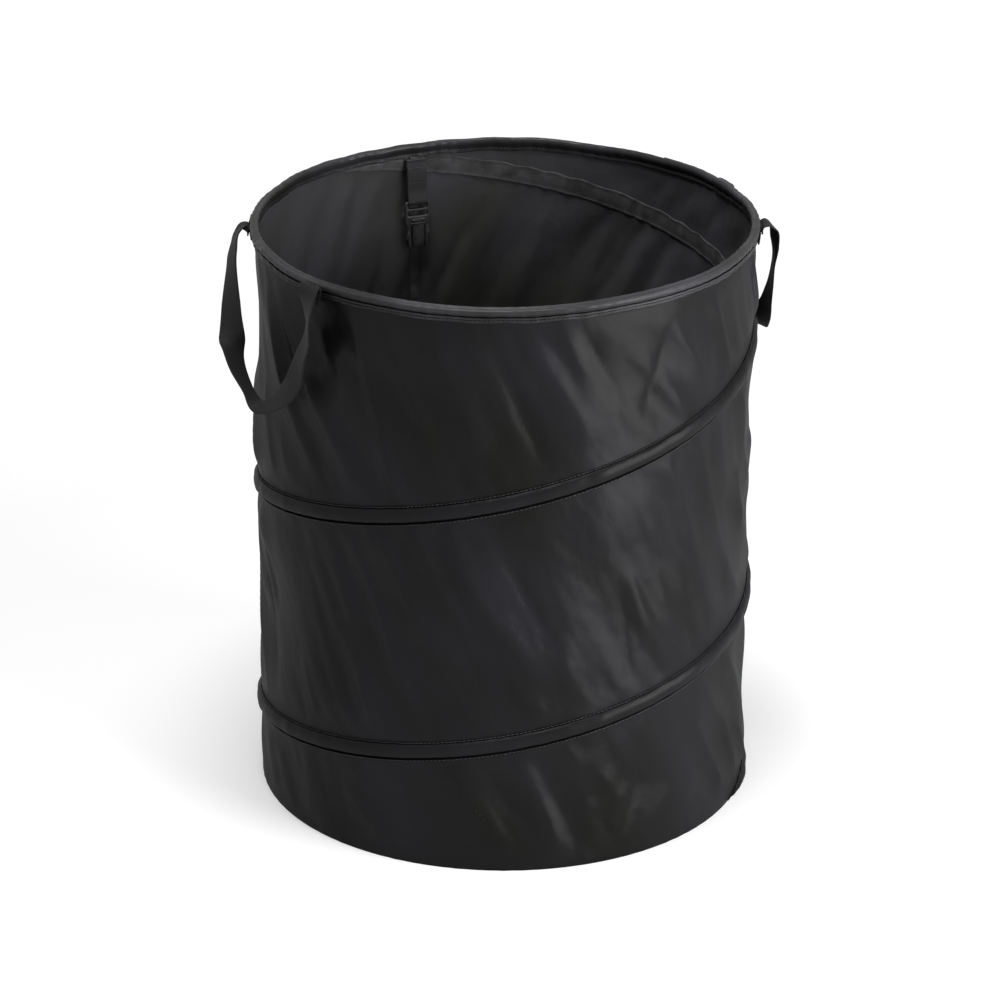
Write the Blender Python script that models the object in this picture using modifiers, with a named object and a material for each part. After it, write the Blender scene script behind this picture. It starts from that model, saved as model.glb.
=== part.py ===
"""Pop-up trash can: a tube of coated cloth on a sprung wire spiral, with a wire hoop sewn into each end.

The origin is on the floor under the middle of the base. +Z is up, -Y is the front and +X is the right.
Two webbing carry handles hang outside the rim, and two closure straps hang inside it."""

from math import cos, degrees, hypot, pi, radians, sin

import bmesh
import bpy
from mathutils import Matrix, Vector

# Driving dimensions
HEIGHT = 0.568
WALL_RADIUS = 0.2357
SEAM_AZIMUTH = radians(112.5)
WEBBING_WIDE = 0.025
WEBBING_NARROW = 0.020

# Cloth, wire and clearances
CLOTH = 0.0010
BINDING = 0.0008
WEBBING = 0.0014
WIRE_RADIUS = 0.0015
GAP = 0.0003
SEGMENTS = 48
STEP = 2 * pi / SEGMENTS
WALL_OUTSIDE = WALL_RADIUS + CLOTH / 2
WALL_INSIDE = WALL_RADIUS - CLOTH / 2
WALL_ROWS = 16
WALL_TOP = HEIGHT - 0.0100
DRAWN_IN = 0.0018
DRAW_EASE = 0.050
STRAIGHT_END = WALL_TOP / WALL_ROWS

# Spiral: its height at +X, its rise per turn there, how fast that rise grows, and how far its turns lean
SPIRAL_AT_RIGHT = 0.4524
SPIRAL_RISE = 0.2925
SPIRAL_GROWTH = 0.0319
SPIRAL_LEAN = 0.0097
SPIRAL_LEANS_TO = radians(25)
WIRE_START = radians(112.5)
WIRE_END = radians(-720)
CASING_START = radians(135)
CASING_END = radians(-742.5)
TAPE_END = radians(-720)

# Rim binding and base binding
RIM_ROUND = 0.0043
RIM_DROP = 0.0143
RIM_LOW = HEIGHT - RIM_DROP
BASE_ROUND = 0.0040
BASE_SLOT_HALF = radians(28)

# Spiral casing and tape, measured out from the wall and across the wire
CASING_HALF = 0.0090
CASING_EDGE = 0.0008
CASING_CROWN = 0.0042
CROWN_HALF = 0.0018
CASING_SEAM = 0.0025
TAPE_HALF = 0.0095
SEAM_TAPE_WIDTH = 0.0100

# Ferrules
FERRULE_LENGTH = 0.024
FERRULE_OUTER = 0.0026
FERRULE_BORE = WIRE_RADIUS + GAP
FERRULE_TURN = radians(82.5)

# Handles, sewn symmetrically about the wall's seam
HANDLE_FROM_SEAM = radians(88)
HANDLE_SPREAD = radians(23)
HANDLE_RADIUS = 0.2450
HANDLE_TOP = HEIGHT - 0.0035
HANDLE_THICK = 0.0016
HANDLE_STEPS = 44
TAB_THICK = 0.0016
TAB_LOW_HALF = 0.0065
TAB_DROP = 0.0215

# Closure
STRAP_RADIUS = 0.2300
STRAP_TOP = HEIGHT - 0.0155
STRAP_TILT = radians(4)
STRAP_DROP = 0.044
BAR = 0.0024
LOOP_RADIUS = 0.0021
BUCKLE_THICK = 0.0032
BASE_STRAP_START = 0.2240
BASE_STRAP_LENGTH = 0.046
SOCKET_THICK = 0.0090


def clear_scene():
    for old in list(bpy.data.objects):
        bpy.data.objects.remove(old, do_unlink=True)


def collection(name, parent):
    made = bpy.data.collections.new(name)
    parent.children.link(made)
    return made


def material(name, colour, roughness, metallic=0.0):
    made = bpy.data.materials.new(name)
    made.use_nodes = True
    shader = made.node_tree.nodes["Principled BSDF"]
    shader.inputs["Base Color"].default_value = (*colour, 1.0)
    shader.inputs["Roughness"].default_value = roughness
    shader.inputs["Metallic"].default_value = metallic
    return made


def add_object(name, data, finish):
    obj = bpy.data.objects.new(name, data)
    CAN.objects.link(obj)
    if finish is not None:
        data.materials.append(finish)
    return obj


def around(azimuth, radius, height):
    return Vector((radius * cos(azimuth), radius * sin(azimuth), height))


def turn(obj, azimuth):
    """Turns an object that was built at +X round the can's axis."""
    obj.matrix_world = Matrix.Rotation(azimuth, 4, "Z") @ obj.matrix_world
    return obj


def turned(name, profile, finish):
    """A closed (radius, height) profile turned round the can's axis."""
    mesh = bpy.data.meshes.new(name)
    points = [(radius, 0.0, height) for radius, height in profile]
    edges = [(i, (i + 1) % len(points)) for i in range(len(points))]
    mesh.from_pydata(points, edges, [])
    obj = add_object(name, mesh, finish)
    screw = obj.modifiers.new("Turn", "SCREW")
    screw.steps = SEGMENTS
    screw.render_steps = SEGMENTS
    screw.use_merge_vertices = True
    screw.merge_threshold = 0.00005
    return obj


def arc(centre, radius, start, end, count):
    """Points along an arc in the plane, with the angles counted from +X towards +Z."""
    angles = [start + (end - start) * i / (count - 1) for i in range(count)]
    return [(centre[0] + radius * cos(a), centre[1] + radius * sin(a)) for a in angles]


def poly_curve(name, points, cyclic=False):
    curve = bpy.data.curves.new(name, "CURVE")
    curve.dimensions = "3D"
    spline = curve.splines.new("POLY")
    spline.points.add(len(points) - 1)
    for point, place in zip(spline.points, points):
        point.co = (*place, 1.0)
    spline.use_cyclic_u = cyclic
    return curve


def wire(name, points, finish):
    """A round wire with filled ends."""
    curve = poly_curve(name, points)
    curve.bevel_depth = WIRE_RADIUS
    curve.bevel_resolution = 1
    curve.use_fill_caps = True
    return add_object(name, curve, finish)


def swept_strip(name, points, section, low, high, finish):
    """A flat section of (out, up) points carried down a path that runs clockwise round the can, and
    trimmed level at the low and high ends."""
    profile = poly_curve(name + "_section", [(-out, up, 0.0) for out, up in section], cyclic=True)
    profile.dimensions = "2D"
    guide = bpy.data.objects.new(name + "_section", profile)
    CUTTERS.objects.link(guide)
    guide.hide_render = True
    curve = poly_curve(name, points)
    curve.twist_mode = "Z_UP"
    curve.bevel_mode = "OBJECT"
    curve.bevel_object = guide
    curve.use_fill_caps = True
    strip = mesh_of_curve(add_object(name + "_curve", curve, finish), name)
    slab = box(name + "_reach", (1.0, 1.0, high - low), (0, 0, (low + high) / 2))
    trim = strip.modifiers.new("Level ends", "BOOLEAN")
    trim.operation = "INTERSECT"
    trim.object = slab
    trim.solver = "EXACT"
    return strip


def mesh_of_curve(obj, name):
    """Replaces a curve object by a mesh object with its caps welded."""
    evaluated = obj.evaluated_get(bpy.context.evaluated_depsgraph_get())
    mesh = bpy.data.meshes.new_from_object(evaluated)
    weld = bmesh.new()
    weld.from_mesh(mesh)
    bmesh.ops.remove_doubles(weld, verts=weld.verts, dist=0.00001)
    weld.to_mesh(mesh)
    weld.free()
    made = bpy.data.objects.new(name, mesh)
    CAN.objects.link(made)
    made.matrix_world = obj.matrix_world
    bpy.data.objects.remove(obj)
    return made


def sheet(name, columns, rows, place, thickness, finish, joined=False):
    """A cloth sheet: a grid whose points go where place(u, v) says, given its thickness by Solidify."""
    mesh = bpy.data.meshes.new(name)
    grid = bmesh.new()
    bmesh.ops.create_grid(grid, x_segments=columns, y_segments=rows, size=0.5)
    for point in grid.verts:
        point.co = place(point.co.x + 0.5, point.co.y + 0.5)
    if joined:
        bmesh.ops.remove_doubles(grid, verts=grid.verts, dist=0.00001)
    grid.to_mesh(mesh)
    grid.free()
    obj = add_object(name, mesh, finish)
    thick = obj.modifiers.new("Thickness", "SOLIDIFY")
    thick.thickness = thickness
    thick.offset = 0.0
    thick.use_even_offset = True
    return obj


def flat_outline(name, loops, thickness, finish):
    """A flat piece: closed (x, y) loops, holes among them, filled and given half the thickness each way."""
    curve = bpy.data.curves.new(name, "CURVE")
    curve.dimensions = "2D"
    curve.fill_mode = "BOTH"
    curve.extrude = thickness / 2
    for loop in loops:
        spline = curve.splines.new("POLY")
        spline.points.add(len(loop) - 1)
        for point, (x, y) in zip(spline.points, loop):
            point.co = (x, y, 0.0, 1.0)
        spline.use_cyclic_u = True
    return add_object(name, curve, finish)


def box(name, size, centre, finish=None):
    """A block as a bmesh cube. Without a finish it is a cutter."""
    mesh = bpy.data.meshes.new(name)
    block = bmesh.new()
    bmesh.ops.create_cube(block, size=1.0)
    bmesh.ops.scale(block, vec=size, verts=block.verts)
    bmesh.ops.translate(block, vec=centre, verts=block.verts)
    block.to_mesh(mesh)
    block.free()
    if finish is not None:
        return add_object(name, mesh, finish)
    cutter = bpy.data.objects.new(name, mesh)
    CUTTERS.objects.link(cutter)
    cutter.hide_render = True
    cutter.display_type = "WIRE"
    return cutter


def cut(obj, cutter):
    boolean = obj.modifiers.new(cutter.name, "BOOLEAN")
    boolean.operation = "DIFFERENCE"
    boolean.object = cutter
    boolean.solver = "EXACT"


def spiral_height(azimuth):
    """The spiral wire's height, rising anticlockwise seen from above, more steeply towards the rim."""
    turns = azimuth / (2 * pi)
    lean = SPIRAL_LEAN * cos(azimuth - SPIRAL_LEANS_TO)
    return SPIRAL_AT_RIGHT + SPIRAL_RISE * turns + SPIRAL_GROWTH * turns**2 + lean


def spiral_points(radius, start, end):
    count = round((start - end) / STEP)
    angles = [start - STEP * i for i in range(count + 1)]
    return [around(a, radius, spiral_height(a)) for a in angles]


def drawn_in(azimuth, height):
    """How far the cloth is drawn in between two turns of the spiral, easing out at the hoops."""
    passes = [spiral_height(azimuth % (2 * pi) + 2 * pi * n) for n in range(-3, 2)]
    low = max(z for z in passes if z <= height)
    high = min(z for z in passes if z > height)
    from_hoop = min(height, WALL_TOP - height) - STRAIGHT_END
    ease = min(1.0, max(0.0, from_hoop / DRAW_EASE))
    return DRAWN_IN * sin(pi * (height - low) / (high - low)) ** 2 * ease


def base_panel():
    mesh = bpy.data.meshes.new("base_panel")
    disc = bmesh.new()
    radius = WALL_INSIDE - GAP
    bmesh.ops.create_cone(disc, cap_ends=True, segments=SEGMENTS, radius1=radius, radius2=radius, depth=CLOTH)
    bmesh.ops.rotate(disc, cent=(0, 0, 0), matrix=Matrix.Rotation(turn_to_right(disc), 3, "Z"), verts=disc.verts)
    bmesh.ops.translate(disc, vec=(0, 0, CLOTH / 2), verts=disc.verts)
    disc.to_mesh(mesh)
    disc.free()
    return add_object("base_panel", mesh, CLOTH_FINISH)


def turn_to_right(mesh):
    """The turn that puts one of the mesh's outer points at +X, in step with the turned pieces."""
    first = max(mesh.verts, key=lambda point: point.co.xy.length)
    return -first.co.xy.angle_signed(Vector((1.0, 0.0)))


def wall_cloth():
    def place(u, v):
        azimuth = 2 * pi * u
        height = WALL_TOP * v
        return around(azimuth, WALL_RADIUS - drawn_in(azimuth, height), height)

    return sheet("wall_cloth", SEGMENTS, WALL_ROWS, place, CLOTH, CLOTH_FINISH, joined=True)


def side_seam_tape():
    """The inside binding of the vertical seam, which passes over the spiral tape where they cross."""
    low = 2 * BASE_ROUND + CLOTH + 3 * GAP
    high = RIM_LOW - GAP
    over_tape = WALL_INSIDE - BINDING - 3 * GAP - BINDING / 2

    def place(u, v):
        height = low + (high - low) * v
        inside = WALL_INSIDE - drawn_in(SEAM_AZIMUTH, height) - 2 * GAP - BINDING / 2
        azimuth = SEAM_AZIMUTH - (u - 0.5) * SEAM_TAPE_WIDTH / WALL_RADIUS
        return around(azimuth, min(inside, over_tape), height)

    return sheet("side_seam_tape", 2, 16, place, BINDING, TAPE_FINISH)


def rim_binding():
    """A hem folded over the rim hoop: a round top with two legs that close on the wall below."""
    middle = (WALL_RADIUS, HEIGHT - RIM_ROUND)
    inner_round = RIM_ROUND - BINDING
    leg_out = CLOTH / 2 + GAP
    foot = (WALL_RADIUS + leg_out + BINDING, RIM_LOW)
    outer = arc(middle, RIM_ROUND, pi, 0.0, 7)
    inner = arc(middle, inner_round, 0.0, pi, 5)
    profile = outer + [foot, (WALL_RADIUS + leg_out, RIM_LOW)] + inner
    profile += [(WALL_RADIUS - leg_out, RIM_LOW), (2 * WALL_RADIUS - foot[0], RIM_LOW)]
    return turned("rim_binding", profile, TAPE_FINISH)


def base_middle():
    """The radius and height of the base hoop, inside the corner of wall and base."""
    return WALL_INSIDE - 2 * GAP - BASE_ROUND, CLOTH + GAP + BASE_ROUND


def base_binding():
    """Tape folded round the base hoop, open at a slot towards the corner seam."""
    slot = radians(-45)
    start = slot - BASE_SLOT_HALF
    end = slot - 2 * pi + BASE_SLOT_HALF
    outer = arc(base_middle(), BASE_ROUND, start, end, 9)
    inner = arc(base_middle(), BASE_ROUND - BINDING, end, start, 9)
    return turned("base_binding", outer + inner, TAPE_FINISH)


def hoop(name, radius, height):
    """An open wire ring whose ends meet in the middle of the facet that the ferrule covers."""
    half_gap = 0.0005
    first = around(STEP, radius, height)
    last = around(0.0, radius, height)
    middle = (first + last) / 2
    along = (first - last).normalized() * half_gap
    ring = [around(STEP * i, radius, height) for i in range(1, SEGMENTS + 1)]
    return turn(wire(name, [middle + along, *ring, middle - along], STEEL), FERRULE_TURN)


def ferrule(name, radius, height):
    """A crimped sleeve lying along one facet of its hoop."""
    middle = (around(STEP, radius, height) + around(0.0, radius, height)) / 2
    lie = Matrix.Translation(middle) @ Matrix.Rotation(STEP / 2, 4, "Z") @ Matrix.Rotation(pi / 2, 4, "X")

    def rod(part, reach, length):
        mesh = bpy.data.meshes.new(part)
        solid = bmesh.new()
        bmesh.ops.create_cone(solid, cap_ends=True, segments=12, radius1=reach, radius2=reach, depth=length)
        solid.to_mesh(mesh)
        solid.free()
        return mesh

    sleeve = add_object(name, rod(name, FERRULE_OUTER, FERRULE_LENGTH), STEEL)
    bore = bpy.data.objects.new(name + "_bore", rod(name + "_bore", FERRULE_BORE, FERRULE_LENGTH * 1.5))
    CUTTERS.objects.link(bore)
    bore.hide_render = True
    bore.display_type = "WIRE"
    for piece in (sleeve, bore):
        piece.matrix_world = lie
        turn(piece, FERRULE_TURN)
    cut(sleeve, bore)
    return sleeve


def spiral():
    """The wire, its casing outside the wall and the tape inside it."""
    wire_radius = WALL_OUTSIDE + GAP + WIRE_RADIUS
    points = spiral_points(wire_radius, WIRE_START, WIRE_END)
    wire("spiral_wire", points, STEEL)
    print_least_gap("spiral_wire", points)
    foot = CASING_HALF - CASING_SEAM
    inner_crown = 2 * WIRE_RADIUS + 2 * GAP
    casing = [
        (GAP, -CASING_HALF),
        (CASING_EDGE, -CASING_HALF),
        (CASING_CROWN, -CROWN_HALF),
        (CASING_CROWN, CROWN_HALF),
        (CASING_EDGE, CASING_HALF),
        (GAP, CASING_HALF),
        (GAP, foot),
        (inner_crown, CROWN_HALF),
        (inner_crown, -CROWN_HALF),
        (GAP, -foot),
    ]
    high = RIM_LOW - GAP
    path = spiral_points(WALL_OUTSIDE, CASING_START, CASING_END)
    swept_strip("spiral_casing", path, casing, GAP, high, CLOTH_FINISH)
    tape = [(-GAP, -TAPE_HALF), (-GAP, TAPE_HALF), (-GAP - BINDING, TAPE_HALF), (-GAP - BINDING, -TAPE_HALF)]
    low = CLOTH + 2 * BASE_ROUND + 2 * GAP
    path = spiral_points(WALL_INSIDE, CASING_START, TAPE_END)
    swept_strip("spiral_tape", path, tape, low, high, TAPE_FINISH)


def print_least_gap(name, points):
    """Prints the wire's least gap to itself, between points more than half a turn apart."""
    apart = SEGMENTS // 2
    pairs = [(a, b) for i, a in enumerate(points) for b in points[i + apart :]]
    least = min((a - b).length for a, b in pairs) - 2 * WIRE_RADIUS
    print(f"{name}: least gap to itself {least * 1000:.1f} mm")


def smooth_path(stops, count):
    """A Catmull-Rom curve through tuples of numbers, as count evenly stepped tuples."""
    made = []
    for i in range(count):
        place = i / (count - 1) * (len(stops) - 1)
        n = min(int(place), len(stops) - 2)
        t = place - n
        before, first, second = stops[max(0, n - 1)], stops[n], stops[n + 1]
        after = stops[min(n + 2, len(stops) - 1)]
        made.append(
            tuple(
                0.5 * (2 * b + (c - a) * t + (2 * a - 5 * b + 4 * c - d) * t**2 + (3 * b - a - 3 * c + d) * t**3)
                for a, b, c, d in zip(before, first, second, after)
            )
        )
    return made


def left_loop():
    """The left handle from its back end to its front end: degrees from its middle, radius, depth below its
    ends, width, and how far the width leans from along the rim (0) through straight out (90) to along it again."""
    spread = degrees(HANDLE_SPREAD)
    return [
        (-spread, HANDLE_RADIUS, 0.0, 0.012, 0.0),
        (-spread + 0.2, HANDLE_RADIUS + 0.0060, 0.0005, 0.017, 0.0),
        (-spread + 1.0, HANDLE_RADIUS + 0.0115, 0.0055, 0.022, 6.0),
        (-spread + 3.0, HANDLE_RADIUS + 0.0150, 0.0200, WEBBING_WIDE, 16.0),
        (-spread + 6.0, HANDLE_RADIUS + 0.0165, 0.0410, WEBBING_WIDE, 24.0),
        (-spread + 9.0, HANDLE_RADIUS + 0.0172, 0.0660, WEBBING_WIDE, 38.0),
        (-spread + 12.5, HANDLE_RADIUS + 0.0175, 0.0920, WEBBING_WIDE, 57.0),
        (-5.5, HANDLE_RADIUS + 0.0175, 0.1140, WEBBING_WIDE, 74.0),
        (1.0, HANDLE_RADIUS + 0.0175, 0.1310, WEBBING_WIDE, 86.0),
        (7.5, HANDLE_RADIUS + 0.0175, 0.1370, WEBBING_WIDE, 90.0),
        (13.5, HANDLE_RADIUS + 0.0175, 0.1280, WEBBING_WIDE, 96.0),
        (spread - 4.5, HANDLE_RADIUS + 0.0170, 0.1110, WEBBING_WIDE, 102.0),
        (spread - 1.8, HANDLE_RADIUS + 0.0162, 0.0910, WEBBING_WIDE, 110.0),
        (spread, HANDLE_RADIUS + 0.0155, 0.0700, WEBBING_WIDE, 120.0),
        (spread + 0.8, HANDLE_RADIUS + 0.0148, 0.0510, WEBBING_WIDE, 132.0),
        (spread + 1.0, HANDLE_RADIUS + 0.0140, 0.0340, WEBBING_WIDE, 146.0),
        (spread + 0.7, HANDLE_RADIUS + 0.0130, 0.0180, WEBBING_WIDE, 162.0),
        (spread + 0.3, HANDLE_RADIUS + 0.0105, 0.0055, 0.022, 174.0),
        (spread + 0.1, HANDLE_RADIUS + 0.0055, 0.0005, 0.017, 180.0),
        (spread, HANDLE_RADIUS, 0.0, 0.012, 180.0),
    ]


def right_loop():
    """The right handle from its front end to its back end, which hangs further back than the left one."""
    spread = degrees(HANDLE_SPREAD)
    return [
        (-spread, HANDLE_RADIUS, 0.0, 0.012, 0.0),
        (-spread + 0.3, HANDLE_RADIUS + 0.0060, 0.0005, 0.017, 0.0),
        (-spread + 1.0, HANDLE_RADIUS + 0.0110, 0.0050, 0.022, 4.0),
        (-spread + 2.3, HANDLE_RADIUS + 0.0125, 0.0200, WEBBING_WIDE, 6.0),
        (-spread + 4.0, HANDLE_RADIUS + 0.0128, 0.0400, WEBBING_WIDE, 9.0),
        (-spread + 6.2, HANDLE_RADIUS + 0.0135, 0.0630, WEBBING_WIDE, 15.0),
        (-spread + 9.2, HANDLE_RADIUS + 0.0142, 0.0860, WEBBING_WIDE, 25.0),
        (-spread + 13.0, HANDLE_RADIUS + 0.0150, 0.1110, WEBBING_WIDE, 45.0),
        (-5.0, HANDLE_RADIUS + 0.0162, 0.1330, WEBBING_WIDE, 70.0),
        (2.0, HANDLE_RADIUS + 0.0170, 0.1440, WEBBING_WIDE, 88.0),
        (9.0, HANDLE_RADIUS + 0.0175, 0.1370, WEBBING_WIDE, 97.0),
        (14.5, HANDLE_RADIUS + 0.0175, 0.1190, WEBBING_WIDE, 106.0),
        (spread - 4.8, HANDLE_RADIUS + 0.0168, 0.0930, WEBBING_WIDE, 120.0),
        (spread - 2.0, HANDLE_RADIUS + 0.0158, 0.0640, WEBBING_WIDE, 138.0),
        (spread - 0.4, HANDLE_RADIUS + 0.0145, 0.0360, WEBBING_WIDE, 156.0),
        (spread, HANDLE_RADIUS + 0.0125, 0.0160, WEBBING_WIDE, 170.0),
        (spread + 0.1, HANDLE_RADIUS + 0.0095, 0.0045, 0.021, 178.0),
        (spread, HANDLE_RADIUS + 0.0050, 0.0005, 0.016, 180.0),
        (spread, HANDLE_RADIUS, 0.0, 0.012, 180.0),
    ]


def handle(name, middle, stops):
    """A webbing loop that leaves the rim flat, hangs clear of the wall and twists to face the hand."""
    stations = smooth_path(stops, HANDLE_STEPS + 1)
    centres = [around(middle + radians(a), r, HANDLE_TOP - drop) for a, r, drop, width, lean in stations]
    steps = [(b - a).length for a, b in zip(centres, centres[1:])]
    print(f"{name}: {sum(steps) * 1000:.0f} mm of webbing between its ends")

    def place(u, v):
        i = round(v * HANDLE_STEPS)
        a, r, drop, width, lean = stations[i]
        along = (centres[min(i + 1, HANDLE_STEPS)] - centres[max(i - 1, 0)]).normalized()
        outward = around(middle + radians(a), 1.0, 0.0)
        tangent = Vector((-outward.y, outward.x, 0.0))
        across = outward * sin(radians(lean)) - tangent * cos(radians(lean))
        across = (across - along * across.dot(along)).normalized()
        return centres[i] + across * width * (0.5 - u)

    return sheet(name, 2, HANDLE_STEPS, place, HANDLE_THICK, WEBBING_FINISH)


def handle_tab(name, azimuth):
    """The webbing end folded under and sewn on the rim, pointed below."""
    top_half = WEBBING_WIDE / 2
    top = HANDLE_TOP - HANDLE_THICK
    low = HANDLE_TOP - TAB_DROP
    middle_radius = WALL_RADIUS + RIM_ROUND + 2 * GAP + TAB_THICK / 2

    def place(u, v):
        half = TAB_LOW_HALF + (top_half - TAB_LOW_HALF) * v
        height = low + (top - low) * v
        return around(azimuth + (u - 0.5) * 2 * half / middle_radius, middle_radius, height)

    return sheet(name, 4, 3, place, TAB_THICK, WEBBING_FINISH)


def strap_outline(length, fold, drop):
    """The side view of a strap that runs along +X, loops round a bar at (length, 0) and lies back on itself.
    drop is how far below the bar's middle the two layers lie together."""
    layer = (WEBBING + GAP) / 2
    slope = 0.012
    near = LOOP_RADIUS + WEBBING / 2
    lower = [(0.0, -drop - layer), (length - slope, -drop - layer), (length - 0.002, -near)]
    bend = arc((length, 0.0), near, -pi / 2, pi / 2, 7)
    upper = [(length - 0.002, near), (length - slope, -drop + layer), (length - slope - fold, -drop + layer)]
    path = lower + bend + upper
    sides = ([], [])
    for i, (x, y) in enumerate(path):
        ahead = path[min(i + 1, len(path) - 1)]
        behind = path[max(i - 1, 0)]
        dx, dy = ahead[0] - behind[0], ahead[1] - behind[1]
        size = hypot(dx, dy)
        for side, points in zip((0.5, -0.5), sides):
            points.append((x - dy / size * WEBBING * side, y + dx / size * WEBBING * side))
    return sides[0] + sides[1][::-1]


def strap(name, length, fold, drop, frame):
    """A doubled strap. frame puts +X along it and +Y out of its face."""
    made = flat_outline(name, [strap_outline(length, fold, drop)], WEBBING_NARROW, WEBBING_FINISH)
    made.matrix_world = frame
    return made


def rounded_rectangle(half_width, low, high, corner):
    """A rectangle with corner arcs, anticlockwise, from its right lower corner."""
    points = arc((half_width - corner, low + corner), corner, -pi / 2, 0.0, 3)
    points += arc((half_width - corner, high - corner), corner, 0.0, pi / 2, 3)
    points += arc((corner - half_width, high - corner), corner, pi / 2, pi, 3)
    return points + arc((corner - half_width, low + corner), corner, pi, 3 * pi / 2, 3)


def prong_outline():
    """The right half of the male buckle's plan below its strap bars: body, sprung prong and middle guide."""
    return [
        (0.0130, -0.0210),
        (0.0118, -0.0240),
        (0.0120, -0.0300),
        (0.0129, -0.0355),
        (0.0125, -0.0375),
        (0.0108, -0.0380),
        (0.0108, -0.0430),
        (0.0094, -0.0465),
        (0.0076, -0.0475),
        (0.0070, -0.0440),
        (0.0076, -0.0360),
        (0.0080, -0.0280),
        (0.0072, -0.0235),
        (0.0040, -0.0222),
        (0.0024, -0.0240),
        (0.0020, -0.0400),
        (0.0012, -0.0420),
    ]


def buckle_prongs(name, frame):
    """The male buckle half, with two slots for the strap above its prongs. Its first bar is at the origin."""
    top = BAR / 2
    shoulder = arc((0.0100, top - 0.003), 0.003, pi / 2, 0.0, 4)
    right = shoulder + prong_outline()
    outline = right + [(-x, y) for x, y in reversed(right)]
    slot_half = WEBBING_NARROW / 2 + 2 * GAP
    slots = [
        rounded_rectangle(slot_half, -0.0062, -BAR / 2, 0.0006),
        rounded_rectangle(slot_half, -0.0136, -0.0090, 0.0006),
    ]
    made = flat_outline(name, [outline[::-1], *slots], BUCKLE_THICK, PLASTIC)
    made.matrix_world = frame
    return made


def buckle_socket(name, frame):
    """The female buckle half: a rounded box with a mouth, two side windows and a strap bar at its back end."""
    width = 0.0270
    length = 0.0360
    back = BAR / 2
    front = back - length
    body = box(name, (width, length, SOCKET_THICK), (0, back - length / 2, 0), PLASTIC)
    cavity = (0.0225, 0.0260, 0.0050)
    slot = (WEBBING_NARROW + 4 * GAP, 0.0050, SOCKET_THICK * 2)
    window = (width * 2, 0.0110, 0.0050)
    relief = (WEBBING_NARROW + 4 * GAP, BAR * 2, SOCKET_THICK)
    lift = (SOCKET_THICK + BAR) / 2
    cuts = {
        "mouth": (cavity, (0, front + cavity[1] / 2 - 0.001, 0)),
        "slot": (slot, (0, -BAR / 2 - slot[1] / 2, 0)),
        "windows": (window, (0, front + 0.0160, 0)),
        "bar_top": (relief, (0, 0, lift)),
        "bar_under": (relief, (0, 0, -lift)),
    }
    bevel = body.modifiers.new("Soft edges", "BEVEL")
    bevel.width = 0.0016
    bevel.segments = 2
    body.matrix_world = frame
    for part, (size, centre) in cuts.items():
        cutter = box(f"{name}_{part}", size, centre)
        cutter.matrix_world = frame
        cut(body, cutter)
    return body


def hanging_frame(azimuth, below):
    """Across the strap +X, up along it +Y and into the can +Z, at a distance below its top end."""
    outward = around(azimuth, 1.0, 0.0)
    up = Vector((0, 0, 1)) * cos(STRAP_TILT) + outward * sin(STRAP_TILT)
    across = outward.cross(Vector((0, 0, 1)))
    top = around(azimuth, STRAP_RADIUS, STRAP_TOP)
    return frame_of(across, up, across.cross(up), top - up * below)


def flat_frame(azimuth, radius, height):
    """Across the strap +X, out to the wall +Y and up +Z, at a point over the base panel."""
    outward = around(azimuth, 1.0, 0.0)
    up = Vector((0, 0, 1))
    return frame_of(outward.cross(up), outward, up, around(azimuth, radius, height))


def frame_of(x_axis, y_axis, z_axis, origin):
    rotation = Matrix((x_axis, y_axis, z_axis)).transposed().to_4x4()
    return Matrix.Translation(origin) @ rotation


def side_on(frame):
    """Turns a frame so that a strap's side view runs along the frame's -Y, with its face towards +Z."""
    return frame @ Matrix(((0, 0, 1, 0), (-1, 0, 0, 0), (0, 1, 0, 0), (0, 0, 0, 1)))


def closure(end, azimuth):
    """One closure: a strap and male half under the rim, and a strap and female half on the base."""
    hang = hanging_frame(azimuth, 0.0)
    bar = hanging_frame(azimuth, STRAP_DROP)
    strap(f"closure_strap_{end}", STRAP_DROP, 0.026, 0.0, side_on(hang))
    buckle_prongs(f"buckle_prongs_{end}", bar)
    middle = CLOTH + GAP + SOCKET_THICK / 2
    drop = SOCKET_THICK / 2 - WEBBING - GAP / 2
    lie = flat_frame(azimuth, BASE_STRAP_START, middle)
    bar = flat_frame(azimuth, BASE_STRAP_START - BASE_STRAP_LENGTH, middle)
    strap(f"base_strap_{end}", BASE_STRAP_LENGTH, 0.018, drop, side_on(lie))
    buckle_socket(f"buckle_socket_{end}", bar)


clear_scene()
CAN = collection("pop_up_trash_can", bpy.context.scene.collection)
CUTTERS = collection("cutters", bpy.context.scene.collection)
CLOTH_FINISH = material("coated_cloth", (0.018, 0.018, 0.022), 0.42)
TAPE_FINISH = material("binding_tape", (0.030, 0.030, 0.034), 0.50)
WEBBING_FINISH = material("webbing", (0.012, 0.012, 0.013), 0.75)
STEEL = material("spring_steel", (0.33, 0.33, 0.34), 0.35, 1.0)
PLASTIC = material("moulded_plastic", (0.014, 0.014, 0.015), 0.35)

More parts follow.
